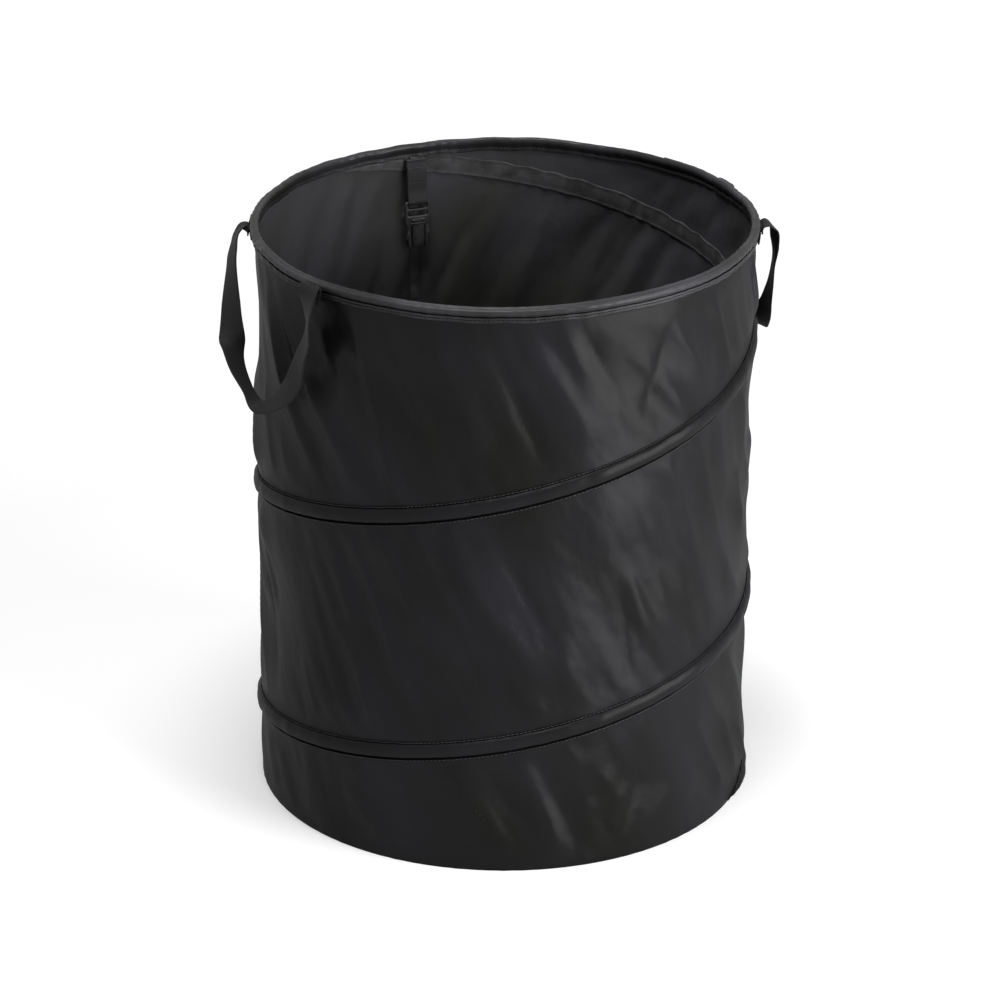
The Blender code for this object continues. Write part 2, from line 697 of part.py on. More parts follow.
base_panel()
hoop("base_hoop", *base_middle())
ferrule("base_ferrule", *base_middle())
base_binding()
wall_cloth()
side_seam_tape()
spiral()
hoop("rim_hoop", WALL_RADIUS, HEIGHT - RIM_ROUND)
ferrule("rim_ferrule", WALL_RADIUS, HEIGHT - RIM_ROUND)
rim_binding()
left_middle = SEAM_AZIMUTH + HANDLE_FROM_SEAM
handle("handle_left", left_middle, left_loop())
handle_tab("handle_left_back_tab", left_middle - HANDLE_SPREAD)
handle_tab("handle_left_front_tab", left_middle + HANDLE_SPREAD)
right_middle = SEAM_AZIMUTH - HANDLE_FROM_SEAM
handle("handle_right", right_middle, right_loop())
handle_tab("handle_right_front_tab", right_middle - HANDLE_SPREAD)
handle_tab("handle_right_back_tab", right_middle + HANDLE_SPREAD)
closure("back", SEAM_AZIMUTH)
closure("front", SEAM_AZIMUTH + pi)
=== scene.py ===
"""Pop-up trash can: a tube of coated cloth on a sprung wire spiral, with a hemmed rim, webbing carry
handles outside it and closure straps inside it."""

from math import cos, pi, radians, sin

import bmesh
import bpy
import numpy as np
from mathutils import Matrix, Vector


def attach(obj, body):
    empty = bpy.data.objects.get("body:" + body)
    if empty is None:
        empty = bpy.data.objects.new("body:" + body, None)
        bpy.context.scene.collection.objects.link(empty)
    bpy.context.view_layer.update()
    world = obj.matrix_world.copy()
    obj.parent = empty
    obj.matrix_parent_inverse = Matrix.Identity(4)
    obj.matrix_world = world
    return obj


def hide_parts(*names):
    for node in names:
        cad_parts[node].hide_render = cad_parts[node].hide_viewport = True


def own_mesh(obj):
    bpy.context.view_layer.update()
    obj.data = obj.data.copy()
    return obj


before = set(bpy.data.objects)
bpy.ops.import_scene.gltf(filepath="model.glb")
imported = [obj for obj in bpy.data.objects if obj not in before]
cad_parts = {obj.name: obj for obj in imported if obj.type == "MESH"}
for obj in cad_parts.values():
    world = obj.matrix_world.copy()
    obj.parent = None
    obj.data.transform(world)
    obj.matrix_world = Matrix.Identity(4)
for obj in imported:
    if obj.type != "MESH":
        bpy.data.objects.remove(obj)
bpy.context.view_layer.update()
scene = bpy.context.scene

# The studio: a pale floor that runs out of view, a white surround and soft lamps. The camera stands
# where the photograph was taken from, in front of the can and looking down into its mouth.
CAMERA_PLACE = Vector((0.0, -4.300, 2.130))
CAMERA_AIM = Vector((-0.0034, 0.0, 0.2793))
CAMERA_ROLL = radians(0.29)
CAMERA_LENS = 174.6
WHITE = (1.0, 1.0, 1.0, 1.0)
FLOOR_COLOUR = (0.80, 0.80, 0.80)
FLOOR_RADIUS = 25.0
FLOOR_GLOW = (0.34, 1.00)
GLOW_REACH = (0.8, 3.5)
SURROUND_LIGHT = 0.07


def add_object(name, data):
    made = bpy.data.objects.new(name, data)
    scene.collection.objects.link(made)
    return made


def add_aimed(name, data, place, aim, roll=0.0):
    """A camera or a lamp at a place, turned towards a point."""
    made = add_object(name, data)
    look = (Vector(aim) - Vector(place)).to_track_quat("-Z", "Y").to_matrix().to_4x4()
    made.matrix_world = Matrix.Translation(place) @ look @ Matrix.Rotation(roll, 4, "Z")
    return made


def add_camera():
    data = bpy.data.cameras.new("camera")
    data.lens = CAMERA_LENS
    data.clip_start = 0.1
    data.clip_end = 60.0
    scene.camera = add_aimed("camera", data, CAMERA_PLACE, CAMERA_AIM, CAMERA_ROLL)


def add_lamp(name, place, aim, width, height, power):
    data = bpy.data.lights.new(name, "AREA")
    data.shape = "RECTANGLE"
    data.size = width
    data.size_y = height
    data.energy = power
    add_aimed(name, data, place, aim).visible_camera = False


def add_node(tree, kind, inputs=(), **settings):
    """A shader or geometry node with its settings, its inputs set or linked by name or number."""
    node = tree.nodes.new(kind)
    for name, value in settings.items():
        setattr(node, name, value)
    for name, value in dict(inputs).items():
        if isinstance(value, bpy.types.NodeSocket):
            tree.links.new(value, node.inputs[name])
        else:
            node.inputs[name].default_value = value
    return node


def from_to(tree, share, low, high, start=0.3, end=0.7):
    """A number between low and high as share goes from start to end."""
    reach = {"Value": share, "From Min": start, "From Max": end, "To Min": low, "To Max": high}
    return add_node(tree, "ShaderNodeMapRange", reach).outputs["Result"]


def combine(tree, one, other, operation):
    return add_node(tree, "ShaderNodeMath", {0: one, 1: other}, operation=operation).outputs[0]


def new_material(name, colour, roughness, specular=0.5, metallic=0.0):
    """A Principled material with the values that are the same all over it, its tree, its shader, and the
    place on the object."""
    made = bpy.data.materials.new(name)
    made.use_nodes = True
    tree = made.node_tree
    shader = tree.nodes["Principled BSDF"]
    shader.inputs["Base Color"].default_value = (*colour, 1.0)
    shader.inputs["Roughness"].default_value = roughness
    shader.inputs["Specular IOR Level"].default_value = specular
    shader.inputs["Metallic"].default_value = metallic
    return made, tree, shader, add_node(tree, "ShaderNodeTexCoord").outputs["Object"]


def seen_plainly(tree):
    """1 where the camera, a gloss or glass looks, and 0 for the light that falls on the can."""
    path = add_node(tree, "ShaderNodeLightPath").outputs
    camera_or_gloss = combine(tree, path["Is Camera Ray"], path["Is Glossy Ray"], "MAXIMUM")
    return combine(tree, camera_or_gloss, path["Is Transmission Ray"], "MAXIMUM")


def add_floor():
    mesh = bpy.data.meshes.new("floor")
    disc = bmesh.new()
    bmesh.ops.create_circle(disc, cap_ends=True, segments=96, radius=FLOOR_RADIUS)
    disc.to_mesh(mesh)
    disc.free()
    floor = add_object("floor", mesh)
    paint, tree, shader, place = new_material("pale_floor", FLOOR_COLOUR, 0.9, 0.1)
    shader.inputs["Emission Color"].default_value = WHITE
    distance = add_node(tree, "ShaderNodeVectorMath", {0: place}, operation="LENGTH").outputs["Value"]
    glow = from_to(tree, distance, *FLOOR_GLOW, *GLOW_REACH)
    tree.links.new(combine(tree, seen_plainly(tree), glow, "MULTIPLY"), shader.inputs["Emission Strength"])
    mesh.materials.append(paint)


def add_surround():
    """A world that is white where the camera, a gloss or glass sees it, and gives a plain fill light."""
    world = bpy.data.worlds.new("surround")
    world.use_nodes = True
    scene.world = world
    tree = world.node_tree
    fill = tree.nodes["Background"]
    fill.inputs["Color"].default_value = WHITE
    fill.inputs["Strength"].default_value = SURROUND_LIGHT
    seen = add_node(tree, "ShaderNodeBackground", {"Color": WHITE}).outputs[0]
    mix = add_node(tree, "ShaderNodeMixShader", {0: seen_plainly(tree), 1: fill.outputs[0], 2: seen})
    tree.links.new(mix.outputs[0], tree.nodes["World Output"].inputs["Surface"])


add_camera()
add_floor()
add_surround()
add_lamp("window_lamp", (1.58, -1.06, 0.72), (0.0, 0.0, 0.34), 1.4, 0.8, 48.0)
add_lamp("top_lamp", (-0.25, -0.25, 3.1), (0.0, 0.0, 0.4), 1.3, 1.3, 78.0)
scene.view_settings.view_transform = "Standard"

# The spring: black-coated steel wire, a ring in the rim, a ring in the base and a spiral of two and a third
# turns between them. Crimped sleeves close the rings. The rings and their sleeves stay the modelled solids,
# with a worn coating and scratched steel. The spiral is made with its sleeve, further on.
SPIRAL_AT_RIGHT = 0.4524
SPIRAL_RISE = 0.2925
SPIRAL_GROWTH = 0.0319
SPIRAL_LEAN = 0.0097
SPIRAL_LEANS_TO = radians(25)


def spiral_height(azimuth):
    """The wire's height along the can, rising anticlockwise seen from above and steepest near the rim."""
    turns = azimuth / (2 * pi)
    lean = SPIRAL_LEAN * np.cos(azimuth - SPIRAL_LEANS_TO)
    return SPIRAL_AT_RIGHT + SPIRAL_RISE * turns + SPIRAL_GROWTH * turns**2 + lean


def noise(tree, place, scale, detail=3.0, roughness=0.5):
    inputs = {"Vector": place, "Scale": scale, "Detail": detail, "Roughness": roughness}
    return add_node(tree, "ShaderNodeTexNoise", inputs).outputs["Fac"]


def blend_colours(tree, share, dark, light, low=0.35, high=0.65):
    """A colour between dark and light as share goes from low to high."""
    share = from_to(tree, share, 0.0, 1.0, low, high)
    colours = {"Factor": share, 6: (*dark, 1.0), 7: (*light, 1.0)}
    return add_node(tree, "ShaderNodeMix", colours, data_type="RGBA").outputs[2]


def dress(tree, shader, colour, roughness, layers):
    """Links a shader's colour, roughness and surface relief. The relief is (height, distance in metres)
    pairs laid over each other."""
    tree.links.new(colour, shader.inputs["Base Color"])
    tree.links.new(roughness, shader.inputs["Roughness"])
    normal = None
    for height, distance in layers:
        inputs = {"Height": height, "Distance": distance, "Strength": 1.0}
        if normal is not None:
            inputs["Normal"] = normal
        normal = add_node(tree, "ShaderNodeBump", inputs).outputs["Normal"]
    tree.links.new(normal, shader.inputs["Normal"])
    tree.links.new(normal, shader.inputs["Coat Normal"])


def spring_coating():
    made, tree, shader, place = new_material("spring_coating", (0.02, 0.02, 0.02), 0.4)
    patches = noise(tree, place, 90.0)
    colour = blend_colours(tree, patches, (0.012, 0.012, 0.013), (0.075, 0.070, 0.066), 0.5, 0.75)
    grain = [(noise(tree, place, 700.0), 0.00004)]
    dress(tree, shader, colour, from_to(tree, patches, 0.3, 0.55), grain)
    return made


def crimped_steel():
    made, tree, shader, place = new_material("crimped_steel", (0.55, 0.55, 0.56), 0.35, metallic=1.0)
    scratches = noise(tree, place, 260.0, 5.0, 0.65)
    colour = blend_colours(tree, scratches, (0.40, 0.40, 0.41), (0.62, 0.62, 0.63))
    dress(tree, shader, colour, from_to(tree, scratches, 0.25, 0.5), [(scratches, 0.00005)])
    return made


def refinish(finish, *nodes):
    for node in nodes:
        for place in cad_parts[node].material_slots:
            place.material = finish


steel = crimped_steel()
coating = spring_coating()
refinish(coating, "rim_hoop", "base_hoop")
refinish(steel, "rim_ferrule", "base_ferrule")

# The wall: one long panel of coated nylon, joined into a tube by the seam behind, and drawn tight between
# the rim and the base. The spring holds it out along the spiral, and the pull of the sewing sets diagonal
# folds across it.
TOP = 0.568
WALL_RADIUS = 0.2357
WALL_TOP = TOP - 0.0100
WALL_FOOT = 0.0002
NYLON_THICK = 0.0006
DRAWN_IN = 0.0028
CASING_HALF = 0.0090
SEAM_AZIMUTH = radians(112.5)
SEAM_LAP_HALF = 0.0060
WALL_COLUMNS = 400
WALL_ROWS = 119
NYLON_BLACK = (0.0055, 0.0058, 0.0048)
NYLON_GREY = (0.0132, 0.0125, 0.0161)
# Near-black nylon without gloss, laid on the faces of the sleeve's and hem's grooves: painted shade in the
# creases.
PAINTED_CREASE_SHADE_BLACK = (0.0010, 0.0010, 0.0010)
WEFT_RIBS = 1500.0
WEFT_DEPTH = 0.000070
# The inner face of the wall and the base panel: paler than the outer nylon, partly the uncoated back of the
# cloth and partly painted light for the inside of the can.
LINING_BLACK_PAINTED_LIGHT = (0.0470, 0.0480, 0.0415)
LINING_GREY_PAINTED_LIGHT = (0.0770, 0.0750, 0.0885)
FOLD_DEPTH = 2.6
STEEPEST_FOLD = 0.38
RIDGE_ROUND = 0.08
SEEN_FOLDS = [
    ((266.2, 0.540), (280.5, 0.405), 0.0110, -0.0022),
    ((276.0, 0.545), (291.0, 0.430), 0.0200, 0.0016),
    ((287.3, 0.536), (297.5, 0.465), 0.0070, -0.0013),
    ((294.3, 0.482), (298.6, 0.420), 0.0030, -0.0009),
    ((311.0, 0.540), (303.5, 0.450), 0.0080, -0.0013),
    ((234.0, 0.540), (246.0, 0.375), 0.0100, 0.0015),
    ((241.5, 0.535), (253.0, 0.440), 0.0090, 0.0012),
    ((253.5, 0.535), (265.0, 0.425), 0.0120, 0.0014),
    ((261.0, 0.450), (272.0, 0.395), 0.0080, 0.0012),
    ((237.0, 0.335), (248.5, 0.215), 0.0100, 0.0016),
    ((247.0, 0.322), (259.5, 0.205), 0.0120, 0.0014),
    ((258.0, 0.318), (278.5, 0.200), 0.0120, 0.0019),
    ((268.5, 0.332), (283.0, 0.225), 0.0100, -0.0018),
    ((275.0, 0.310), (287.0, 0.190), 0.0160, 0.0015),
    ((296.5, 0.310), (300.6, 0.180), 0.0040, -0.0010),
    ((300.0, 0.300), (305.0, 0.215), 0.0100, 0.0013),
    ((228.0, 0.152), (235.0, 0.125), 0.0060, 0.0014),
    ((230.0, 0.065), (241.0, 0.018), 0.0070, 0.0018),
    ((257.5, 0.107), (272.5, 0.012), 0.0090, 0.0020),
    ((265.0, 0.103), (274.5, 0.050), 0.0070, -0.0014),
    ((302.9, 0.080), (298.6, 0.022), 0.0035, -0.0014),
    ((293.0, 0.095), (300.0, 0.055), 0.0080, 0.0010),
]
HIDDEN_FOLDS = 70


def turned_from(azimuth, middle):
    """The angle from a middle azimuth, within half a turn either way."""
    return (azimuth - middle + pi) % (2 * pi) - pi


def below(distance, soft):
    """1 where a distance is below zero and 0 where it is above, changing over a short way."""
    return 1.0 / (1.0 + np.exp(np.minimum(distance / soft, 50.0)))


def nearest_turns(azimuth, height):
    """The heights of the wire's turns just below and just above a point of the wall."""
    low = np.full_like(height, -1.0)
    high = np.full_like(height, 1.0)
    for turn in range(-3, 2):
        here = spiral_height(azimuth % (2 * pi) + 2 * pi * turn)
        low = np.where(here <= height, np.maximum(low, here), low)
        high = np.where(here > height, np.minimum(high, here), high)
    return low, high


def fold(azimuth, height, start, end, width, depth):
    """A soft fold along the wall between two (degrees, height) points, tapering out past its ends."""
    middle = ((start[0] + end[0]) / 2, (start[1] + end[1]) / 2)
    round_the_can = radians(end[0] - start[0]) * WALL_RADIUS
    half = np.hypot(round_the_can, end[1] - start[1]) / 2
    lean = np.arctan2(end[1] - start[1], round_the_can)
    x = turned_from(azimuth, radians(middle[0])) * WALL_RADIUS
    y = height - middle[1]
    along = x * np.cos(lean) + y * np.sin(lean)
    across = (y * np.cos(lean) - x * np.sin(lean)) / width
    below_ridge = across < 0.0
    steep = np.sqrt(across**2 + RIDGE_ROUND) * np.where(below_ridge, 1.5, 0.85)
    steep -= 0.65 * np.sqrt(RIDGE_ROUND) * below_ridge * np.exp(-(across**2))
    reach = np.sign(depth) * min(FOLD_DEPTH * abs(depth), STEEPEST_FOLD * width)
    return reach * np.exp(0.24 - steep) * np.exp(-((along / (half * 0.95)) ** 4))


def hidden_folds():
    """Folds of the same lean and size, spread over the sides and the back that the photograph hides."""
    chance = np.random.default_rng(11)
    made = []
    while len(made) < HIDDEN_FOLDS:
        azimuth = chance.uniform(-40.0, 222.0)
        height = chance.uniform(0.03, 0.50)
        length = chance.uniform(0.05, 0.13)
        run = np.degrees(length * chance.uniform(0.25, 0.55) / WALL_RADIUS)
        width = chance.uniform(0.006, 0.018)
        depth = chance.choice((-1.0, 1.0)) * chance.uniform(0.0008, 0.0019)
        made.append(((azimuth, height + length / 2), (azimuth + run, height - length / 2), width, depth))
    return made


ALL_FOLDS = SEEN_FOLDS + hidden_folds()


def creases(azimuth, height):
    """Trains of finer diagonal folds, crisp along their ridges, that come and go round the can."""
    def wave(turns, rises, start=0.0):
        return np.sin(turns * azimuth + rises * height + start)

    first = 29 * azimuth + 70 * height + 1.4 * wave(5, -9) + wave(3, 19)
    second = 47 * azimuth + 96 * height + 1.6 * wave(4, 13, 1.0)
    here = np.clip(0.35 + 0.6 * wave(4, 8, 1.0) + 0.5 * wave(7, -13), 0, 1)
    there = np.clip(0.3 + 0.7 * wave(5, -10, 2.0) + 0.5 * wave(9, 15), 0, 1)
    ridges = here * (0.6 - np.sqrt(np.sin(first / 2) ** 2 + 0.030))
    valleys = there * (np.sqrt(np.sin(second / 2) ** 2 + 0.060) - 0.6)
    return 0.0042 * ridges + 0.0018 * valleys


def relief(azimuth, height):
    """How far the cloth stands outside the plain tube at points of the wall."""
    azimuth, height = np.broadcast_arrays(np.asarray(azimuth, float), np.asarray(height, float))
    low, high = nearest_turns(azimuth, height)
    phase = (height - low) / (high - low)
    to_wire = np.minimum(height - low, high - height)
    to_end = np.minimum(height, WALL_TOP - height)
    ease = np.clip((to_end - 0.012) / 0.060, 0.0, 1.0)
    drawn = -DRAWN_IN * np.sin(pi * phase) ** 2 * ease**1.5
    held = 1.0 - np.exp(-((np.maximum(to_wire - CASING_HALF, 0.0) / 0.014) ** 2))
    held *= 1.0 - np.exp(-((np.maximum(to_end - 0.006, 0.0) / 0.016) ** 2))
    folds = sum(fold(azimuth, height, *one) for one in ALL_FOLDS) + creases(azimuth, height)
    swell = 0.0006 * np.sin(7 * azimuth + 23 * height + 1.0) + 0.0005 * np.sin(12 * azimuth - 31 * height)
    swell += 0.0005 * np.sin(19 * azimuth + 44 * height + 2.0)
    near_sewing = np.exp(-np.maximum(to_wire - CASING_HALF, 0.0) / 0.011) * (to_wire > CASING_HALF)
    near_sewing = np.maximum(near_sewing, np.exp(-to_end / 0.014))
    pull = 0.5 * np.sin(71 * azimuth + 60 * height) + 0.5 * np.sin(97 * azimuth - 45 * height + 1.7)
    pull *= 0.5 + 0.5 * np.sin(9 * azimuth + 4.0 * np.sin(3 * azimuth))
    off_seam = np.abs(turned_from(azimuth, SEAM_AZIMUTH)) * WALL_RADIUS
    lap = 0.0008 * below(off_seam - SEAM_LAP_HALF, 0.0006) - 0.0006 * np.exp(-((off_seam / 0.0007) ** 2))
    flat_by_seam = 1.0 - 0.8 * np.exp(-((off_seam / 0.020) ** 2))
    return drawn + held * flat_by_seam * (folds + swell) + 0.00035 * near_sewing * pull + lap


def at(azimuth, radius, height):
    """Points from azimuths, radii and heights, as an array whose last axis is x, y, z."""
    parts = np.broadcast_arrays(radius * np.cos(azimuth), radius * np.sin(azimuth), height)
    return np.stack(parts, axis=-1)


def add_piece(mesh, finish, body, slot, *nodes):
    """A finished mesh as a piece of the same name that rides on a body and stands for CAD nodes."""
    piece = add_object(mesh.name, mesh)
    if len(mesh.materials) == 0:
        mesh.materials.append(finish)
    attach(piece, body)
    if nodes:
        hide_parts(*nodes)
    return piece


def loft(name, points, across, along, round_rows=False):
    """A closed skin over rows of points that each run round it, smooth, with each point's place on the flat
    cloth as its UV map. across runs along a row, with one more value than the row has points, and along
    from row to row, with one more value where the rows close round too."""
    rows, columns = points.shape[:2]
    r, c = np.meshgrid(np.arange(rows if round_rows else rows - 1), np.arange(columns), indexing="ij")
    corners = [(r, c), (r, c + 1), (r + 1, c + 1), (r + 1, c)]
    quads = np.stack([(a % rows) * columns + b % columns for a, b in corners], axis=-1).reshape(-1, 4)
    spots = np.stack([np.stack((across[b], along[a]), axis=-1) for a, b in corners], axis=2).reshape(-1, 2)
    faces = quads.tolist()
    if not round_rows:
        faces += [list(range(columns))[::-1], list(range((rows - 1) * columns, rows * columns))]
        start = np.stack((across[:columns][::-1], np.full(columns, along[0])), axis=-1)
        end = np.stack((across[:columns], np.full(columns, along[-1])), axis=-1)
        spots = np.concatenate([spots, start, end])
    mesh = bpy.data.meshes.new(name)
    mesh.from_pydata(points.reshape(-1, 3).tolist(), [], faces)
    mesh.uv_layers.new(name="cloth").data.foreach_set("uv", spots.ravel())
    solid = bmesh.new()
    solid.from_mesh(mesh)
    if solid.calc_volume(signed=True) < 0.0:
        bmesh.ops.reverse_faces(solid, faces=solid.faces)
    solid.to_mesh(mesh)
    solid.free()
    mesh.shade_smooth()
    return mesh


def cloth_wave(tree, axis, turns):
    """A sine wave with so many turns to the metre along one axis of the UV map."""
    place = add_node(tree, "ShaderNodeUVMap", uv_map="cloth").outputs["UV"]
    place = add_node(tree, "ShaderNodeSeparateXYZ", {"Vector": place}).outputs[axis]
    return combine(tree, combine(tree, place, turns * 2 * pi, "MULTIPLY"), 0.0, "SINE")


def woven(tree, threads):
    """A plain weave's height, 0 to 1, with so many threads to the metre each way."""
    both = combine(tree, *[cloth_wave(tree, axis, threads / 2) for axis in "XY"], "MULTIPLY")
    return from_to(tree, both, 0.0, 1.0, -1.0, 1.0)


def ribbed(tree, axis, ribs):
    """Fine rounded ribs' height, 0 to 1, with so many to the metre along one axis."""
    return from_to(tree, cloth_wave(tree, axis, ribs), 0.0, 1.0, -1.0, 1.0)


def coated_nylon(name, dark, light, gloss, gloss_roughness, rib_axis="Y"):
    """Satin proofed nylon: near black, finely ribbed by its weft, with soft crinkles and handling marks.
    Its ribs draw the gloss out square to them."""
    made, tree, shader, place = new_material(name, dark, 0.5, 0.0)
    shader.inputs["Coat Weight"].default_value = gloss
    shader.inputs["Coat Roughness"].default_value = gloss_roughness
    shader.inputs["Coat IOR"].default_value = 1.5
    cloth_place = add_node(tree, "ShaderNodeUVMap", uv_map="cloth").outputs["UV"]
    slant = {"Vector": cloth_place, "Rotation": (0.0, 0.0, radians(62))}
    slanted = add_node(tree, "ShaderNodeMapping", slant).outputs[0]
    drawn_out = {"Vector": slanted, "Scale": (1.0, 2.2, 1.0)}
    drawn_out = add_node(tree, "ShaderNodeMapping", drawn_out).outputs[0]
    colour = blend_colours(tree, noise(tree, drawn_out, 5.0, 3.0, 0.45), dark, light, 0.30, 0.70)
    marks = noise(tree, place, 34.0, 5.0, 0.6)
    pulls = noise(tree, drawn_out, 11.0, 2.0, 0.4)
    crinkles = noise(tree, place, 40.0, 3.0, 0.5)
    layers = [(pulls, 0.0035), (crinkles, 0.0008), (marks, 0.0003)]
    layers.append((ribbed(tree, rib_axis, WEFT_RIBS), WEFT_DEPTH))
    dress(tree, shader, colour, from_to(tree, marks, 0.36, 0.50), layers)
    return made


def all_round(count):
    """So many even angles round a circle, as one row."""
    return np.linspace(0.0, 2 * pi, count, endpoint=False)[None, :]


def wall_mesh():
    """The tube as one closed skin: up the outside, over the top, down the inside and under the foot."""
    azimuth = SEAM_AZIMUTH + all_round(WALL_COLUMNS)
    heights = np.linspace(WALL_FOOT, WALL_TOP, WALL_ROWS)
    middle = WALL_RADIUS + relief(azimuth, heights[:, None])
    outside = at(azimuth, middle + NYLON_THICK / 2, heights[:, None])
    inside = at(azimuth, middle - NYLON_THICK / 2, heights[:, None])
    points = np.concatenate([outside, inside[::-1]])
    across = np.linspace(0.0, 2 * pi * WALL_RADIUS, WALL_COLUMNS + 1)
    along = np.concatenate([heights, heights[::-1], heights[:1]])
    return loft("wall", points, across, along, round_rows=True)


def folds_with_wall(piece):
    """Gives a piece that rides on the wall its own copy of its mesh."""
    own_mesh(piece)


nylon = coated_nylon("coated_nylon", NYLON_BLACK, NYLON_GREY, 0.19, 0.22)
# The inner-face nylon is paler partly by painted light.
nylon_lining_painted_light = coated_nylon("nylon_inner_face_painted_light", LINING_BLACK_PAINTED_LIGHT, LINING_GREY_PAINTED_LIGHT, 0.10, 0.50)
wall = add_piece(wall_mesh(), nylon, "base", "coated_cloth", "wall_cloth")
# The inside half of the wall takes the inner-face nylon, paler partly by painted light.
wall.data.materials.append(nylon_lining_painted_light)
for face in wall.data.polygons:
    face.material_index = int(face.index // WALL_COLUMNS >= WALL_ROWS)
folds_with_wall(wall)

# The base: a round panel of the same nylon, sewn to the foot of the wall with its seam turned inside.
# A folded tape binds the seam and holds the base ring of the spring.
BASE_RADIUS = WALL_RADIUS - 0.0008
BASE_THICK = 0.0008
BASE_MIDDLE_DISC = 0.0040
BASE_RINGS = 60
BASE_SPOKES = 240
BINDING_ROUND = 0.0040
BINDING_THICK = 0.0008
BINDING_GIRTH = 0.046
BINDING_COLUMNS = 360
BINDING_ROWS = 17
BINDING_MIDDLE = (WALL_RADIUS - 0.0051, 0.0053)
TAPE_BLACK = (0.0330, 0.0335, 0.0325)
TAPE_GREY = (0.0760, 0.0745, 0.0800)


def grosgrain(name, dark, light, ribs):
    """Woven binding tape: a matt ribbed weave with the ribs square to the tape's edges."""
    made, tree, shader, place = new_material(name, dark, 0.6, 0.25)
    clouds = noise(tree, place, 60.0, 4.0, 0.55)
    layers = [(clouds, 0.0003), (woven(tree, ribs), 0.00006)]
    dress(tree, shader, blend_colours(tree, clouds, dark, light), from_to(tree, clouds, 0.5, 0.7), layers)
    return made


def base_mesh():
    """A flat disc with small radial puckers towards its sewn edge, as one closed skin. Its weave runs
    straight across it."""
    azimuth = all_round(BASE_SPOKES)
    radius = np.linspace(BASE_MIDDLE_DISC, BASE_RADIUS, BASE_RINGS)[:, None]
    edge = np.exp(-(BASE_RADIUS - radius) / 0.030)
    waves = 0.5 + 0.5 * np.sin(37 * azimuth + 2.0 * np.sin(5 * azimuth))
    slack = 0.0008 * (1.0 - np.cos(2 * azimuth + 30 * radius)) * np.sin(pi * radius / BASE_RADIUS)
    lift = 0.0014 * edge * waves * (1.0 - np.exp(-(BASE_RADIUS - radius) / 0.006)) + slack
    top = at(azimuth, radius, BASE_THICK + lift)
    under = at(azimuth, radius, lift * 0.9)
    points = np.concatenate([under, top[::-1]])
    across = np.linspace(0.0, 2 * pi * BASE_RADIUS, BASE_SPOKES + 1)
    along = np.concatenate([radius[:, 0], radius[::-1, 0]])
    mesh = loft("base", points, across, along)
    straight = points.reshape(-1, 3)[[corner.vertex_index for corner in mesh.loops], :2]
    mesh.uv_layers["cloth"].data.foreach_set("uv", straight.ravel())
    return mesh


def base_binding_mesh():
    """The tape folded round the base ring, open towards the corner seam."""
    azimuth = all_round(BINDING_COLUMNS)
    turn = np.linspace(radians(-73), radians(-377), BINDING_ROWS)[:, None]
    pinch = 0.00025 * np.sin(83 * azimuth + 2.0 * np.sin(7 * azimuth))
    rings = []
    for reach in (BINDING_ROUND, BINDING_ROUND - BINDING_THICK):
        radius = BINDING_MIDDLE[0] + (reach + pinch) * np.cos(turn)
        rings.append(at(azimuth, radius, BINDING_MIDDLE[1] + reach * np.sin(turn)))
    points = np.concatenate([rings[0], rings[1][::-1]])
    across = np.linspace(0.0, 2 * pi * BINDING_MIDDLE[0], BINDING_COLUMNS + 1)
    along = np.linspace(0.0, BINDING_GIRTH, 2 * BINDING_ROWS + 1)
    return loft("base_binding_tape", points, across, along, round_rows=True)


tape_cloth = grosgrain("binding_grosgrain", TAPE_BLACK, TAPE_GREY, 1400.0)
# The base panel takes the inner-face nylon, paler partly by painted light.
base = add_piece(base_mesh(), nylon_lining_painted_light, "base", "coated_cloth", "base_panel")
add_piece(base_binding_mesh(), tape_cloth, "base", "binding_tape", "base_binding")

# The spiral's sleeve and tape: a nylon strip folded over the wire outside the wall and a flat tape inside
# it, joined through the wall by a row of stitches along each edge. The sleeve hangs from its upper edge
# over the wire and turns in sharply below it.
WIRE_START = radians(112.5)
WIRE_END = radians(-720)
WIRE_RADIUS = 0.0015
WIRE_SIDES = 8
WIRE_STAND = 0.0020
CASING_START = radians(135)
CASING_END = radians(-742)
CASING_FADE = radians(112.5)
CASING_STEP = radians(0.7)
SLEEVE_WIDE = 0.024
SLEEVE_LOW = 0.0006
TAPE_HALF = 0.0095
TAPE_THICK = 0.0008
TAPE_LOW = 0.0100
STRIP_TOP = TOP - 0.0150
SLEEVE_SECTION = [
    (-0.0102, 0.0003), (-0.0103, 0.0009), (-0.0096, 0.0013), (-0.0086, 0.0012), (-0.0078, 0.0005),
    (-0.0060, 0.0004), (-0.0056, 0.0016), (-0.0057, 0.0030), (-0.0049, 0.0040), (-0.0034, 0.0044),
    (-0.0014, 0.0046), (0.0006, 0.0046), (0.0026, 0.0043), (0.0046, 0.0036), (0.0062, 0.0026),
    (0.0073, 0.0013), (0.0079, 0.0005), (0.0085, 0.0012), (0.0091, 0.0010), (0.0092, 0.0003),
]
# The sleeve's groove faces that take the crease material: painted shade.
SLEEVE_SHADED_CREASES = (3, 4, 5, 15, 16)
TAPE_SIDES = (-1.0, -0.98, -0.90, -0.78, -0.5, 0.0, 0.5, 0.78, 0.90, 0.98, 1.0)
TAPE_STAND = (0.0, 0.9, 1.15, 0.75, 1.1, 1.2, 1.1, 0.75, 1.15, 0.9, 0.0)


def along_spiral(start, end):
    """Azimuths down the spiral, the height at each, and the way square to the wire and up the wall."""
    azimuth = np.arange(start, end, -CASING_STEP)[:, None]
    height = spiral_height(azimuth)
    slope = np.gradient(height, azimuth[:, 0], axis=0) / WALL_RADIUS
    steep = np.sqrt(1.0 + slope**2)
    return azimuth, height, -slope / steep / WALL_RADIUS, 1.0 / steep


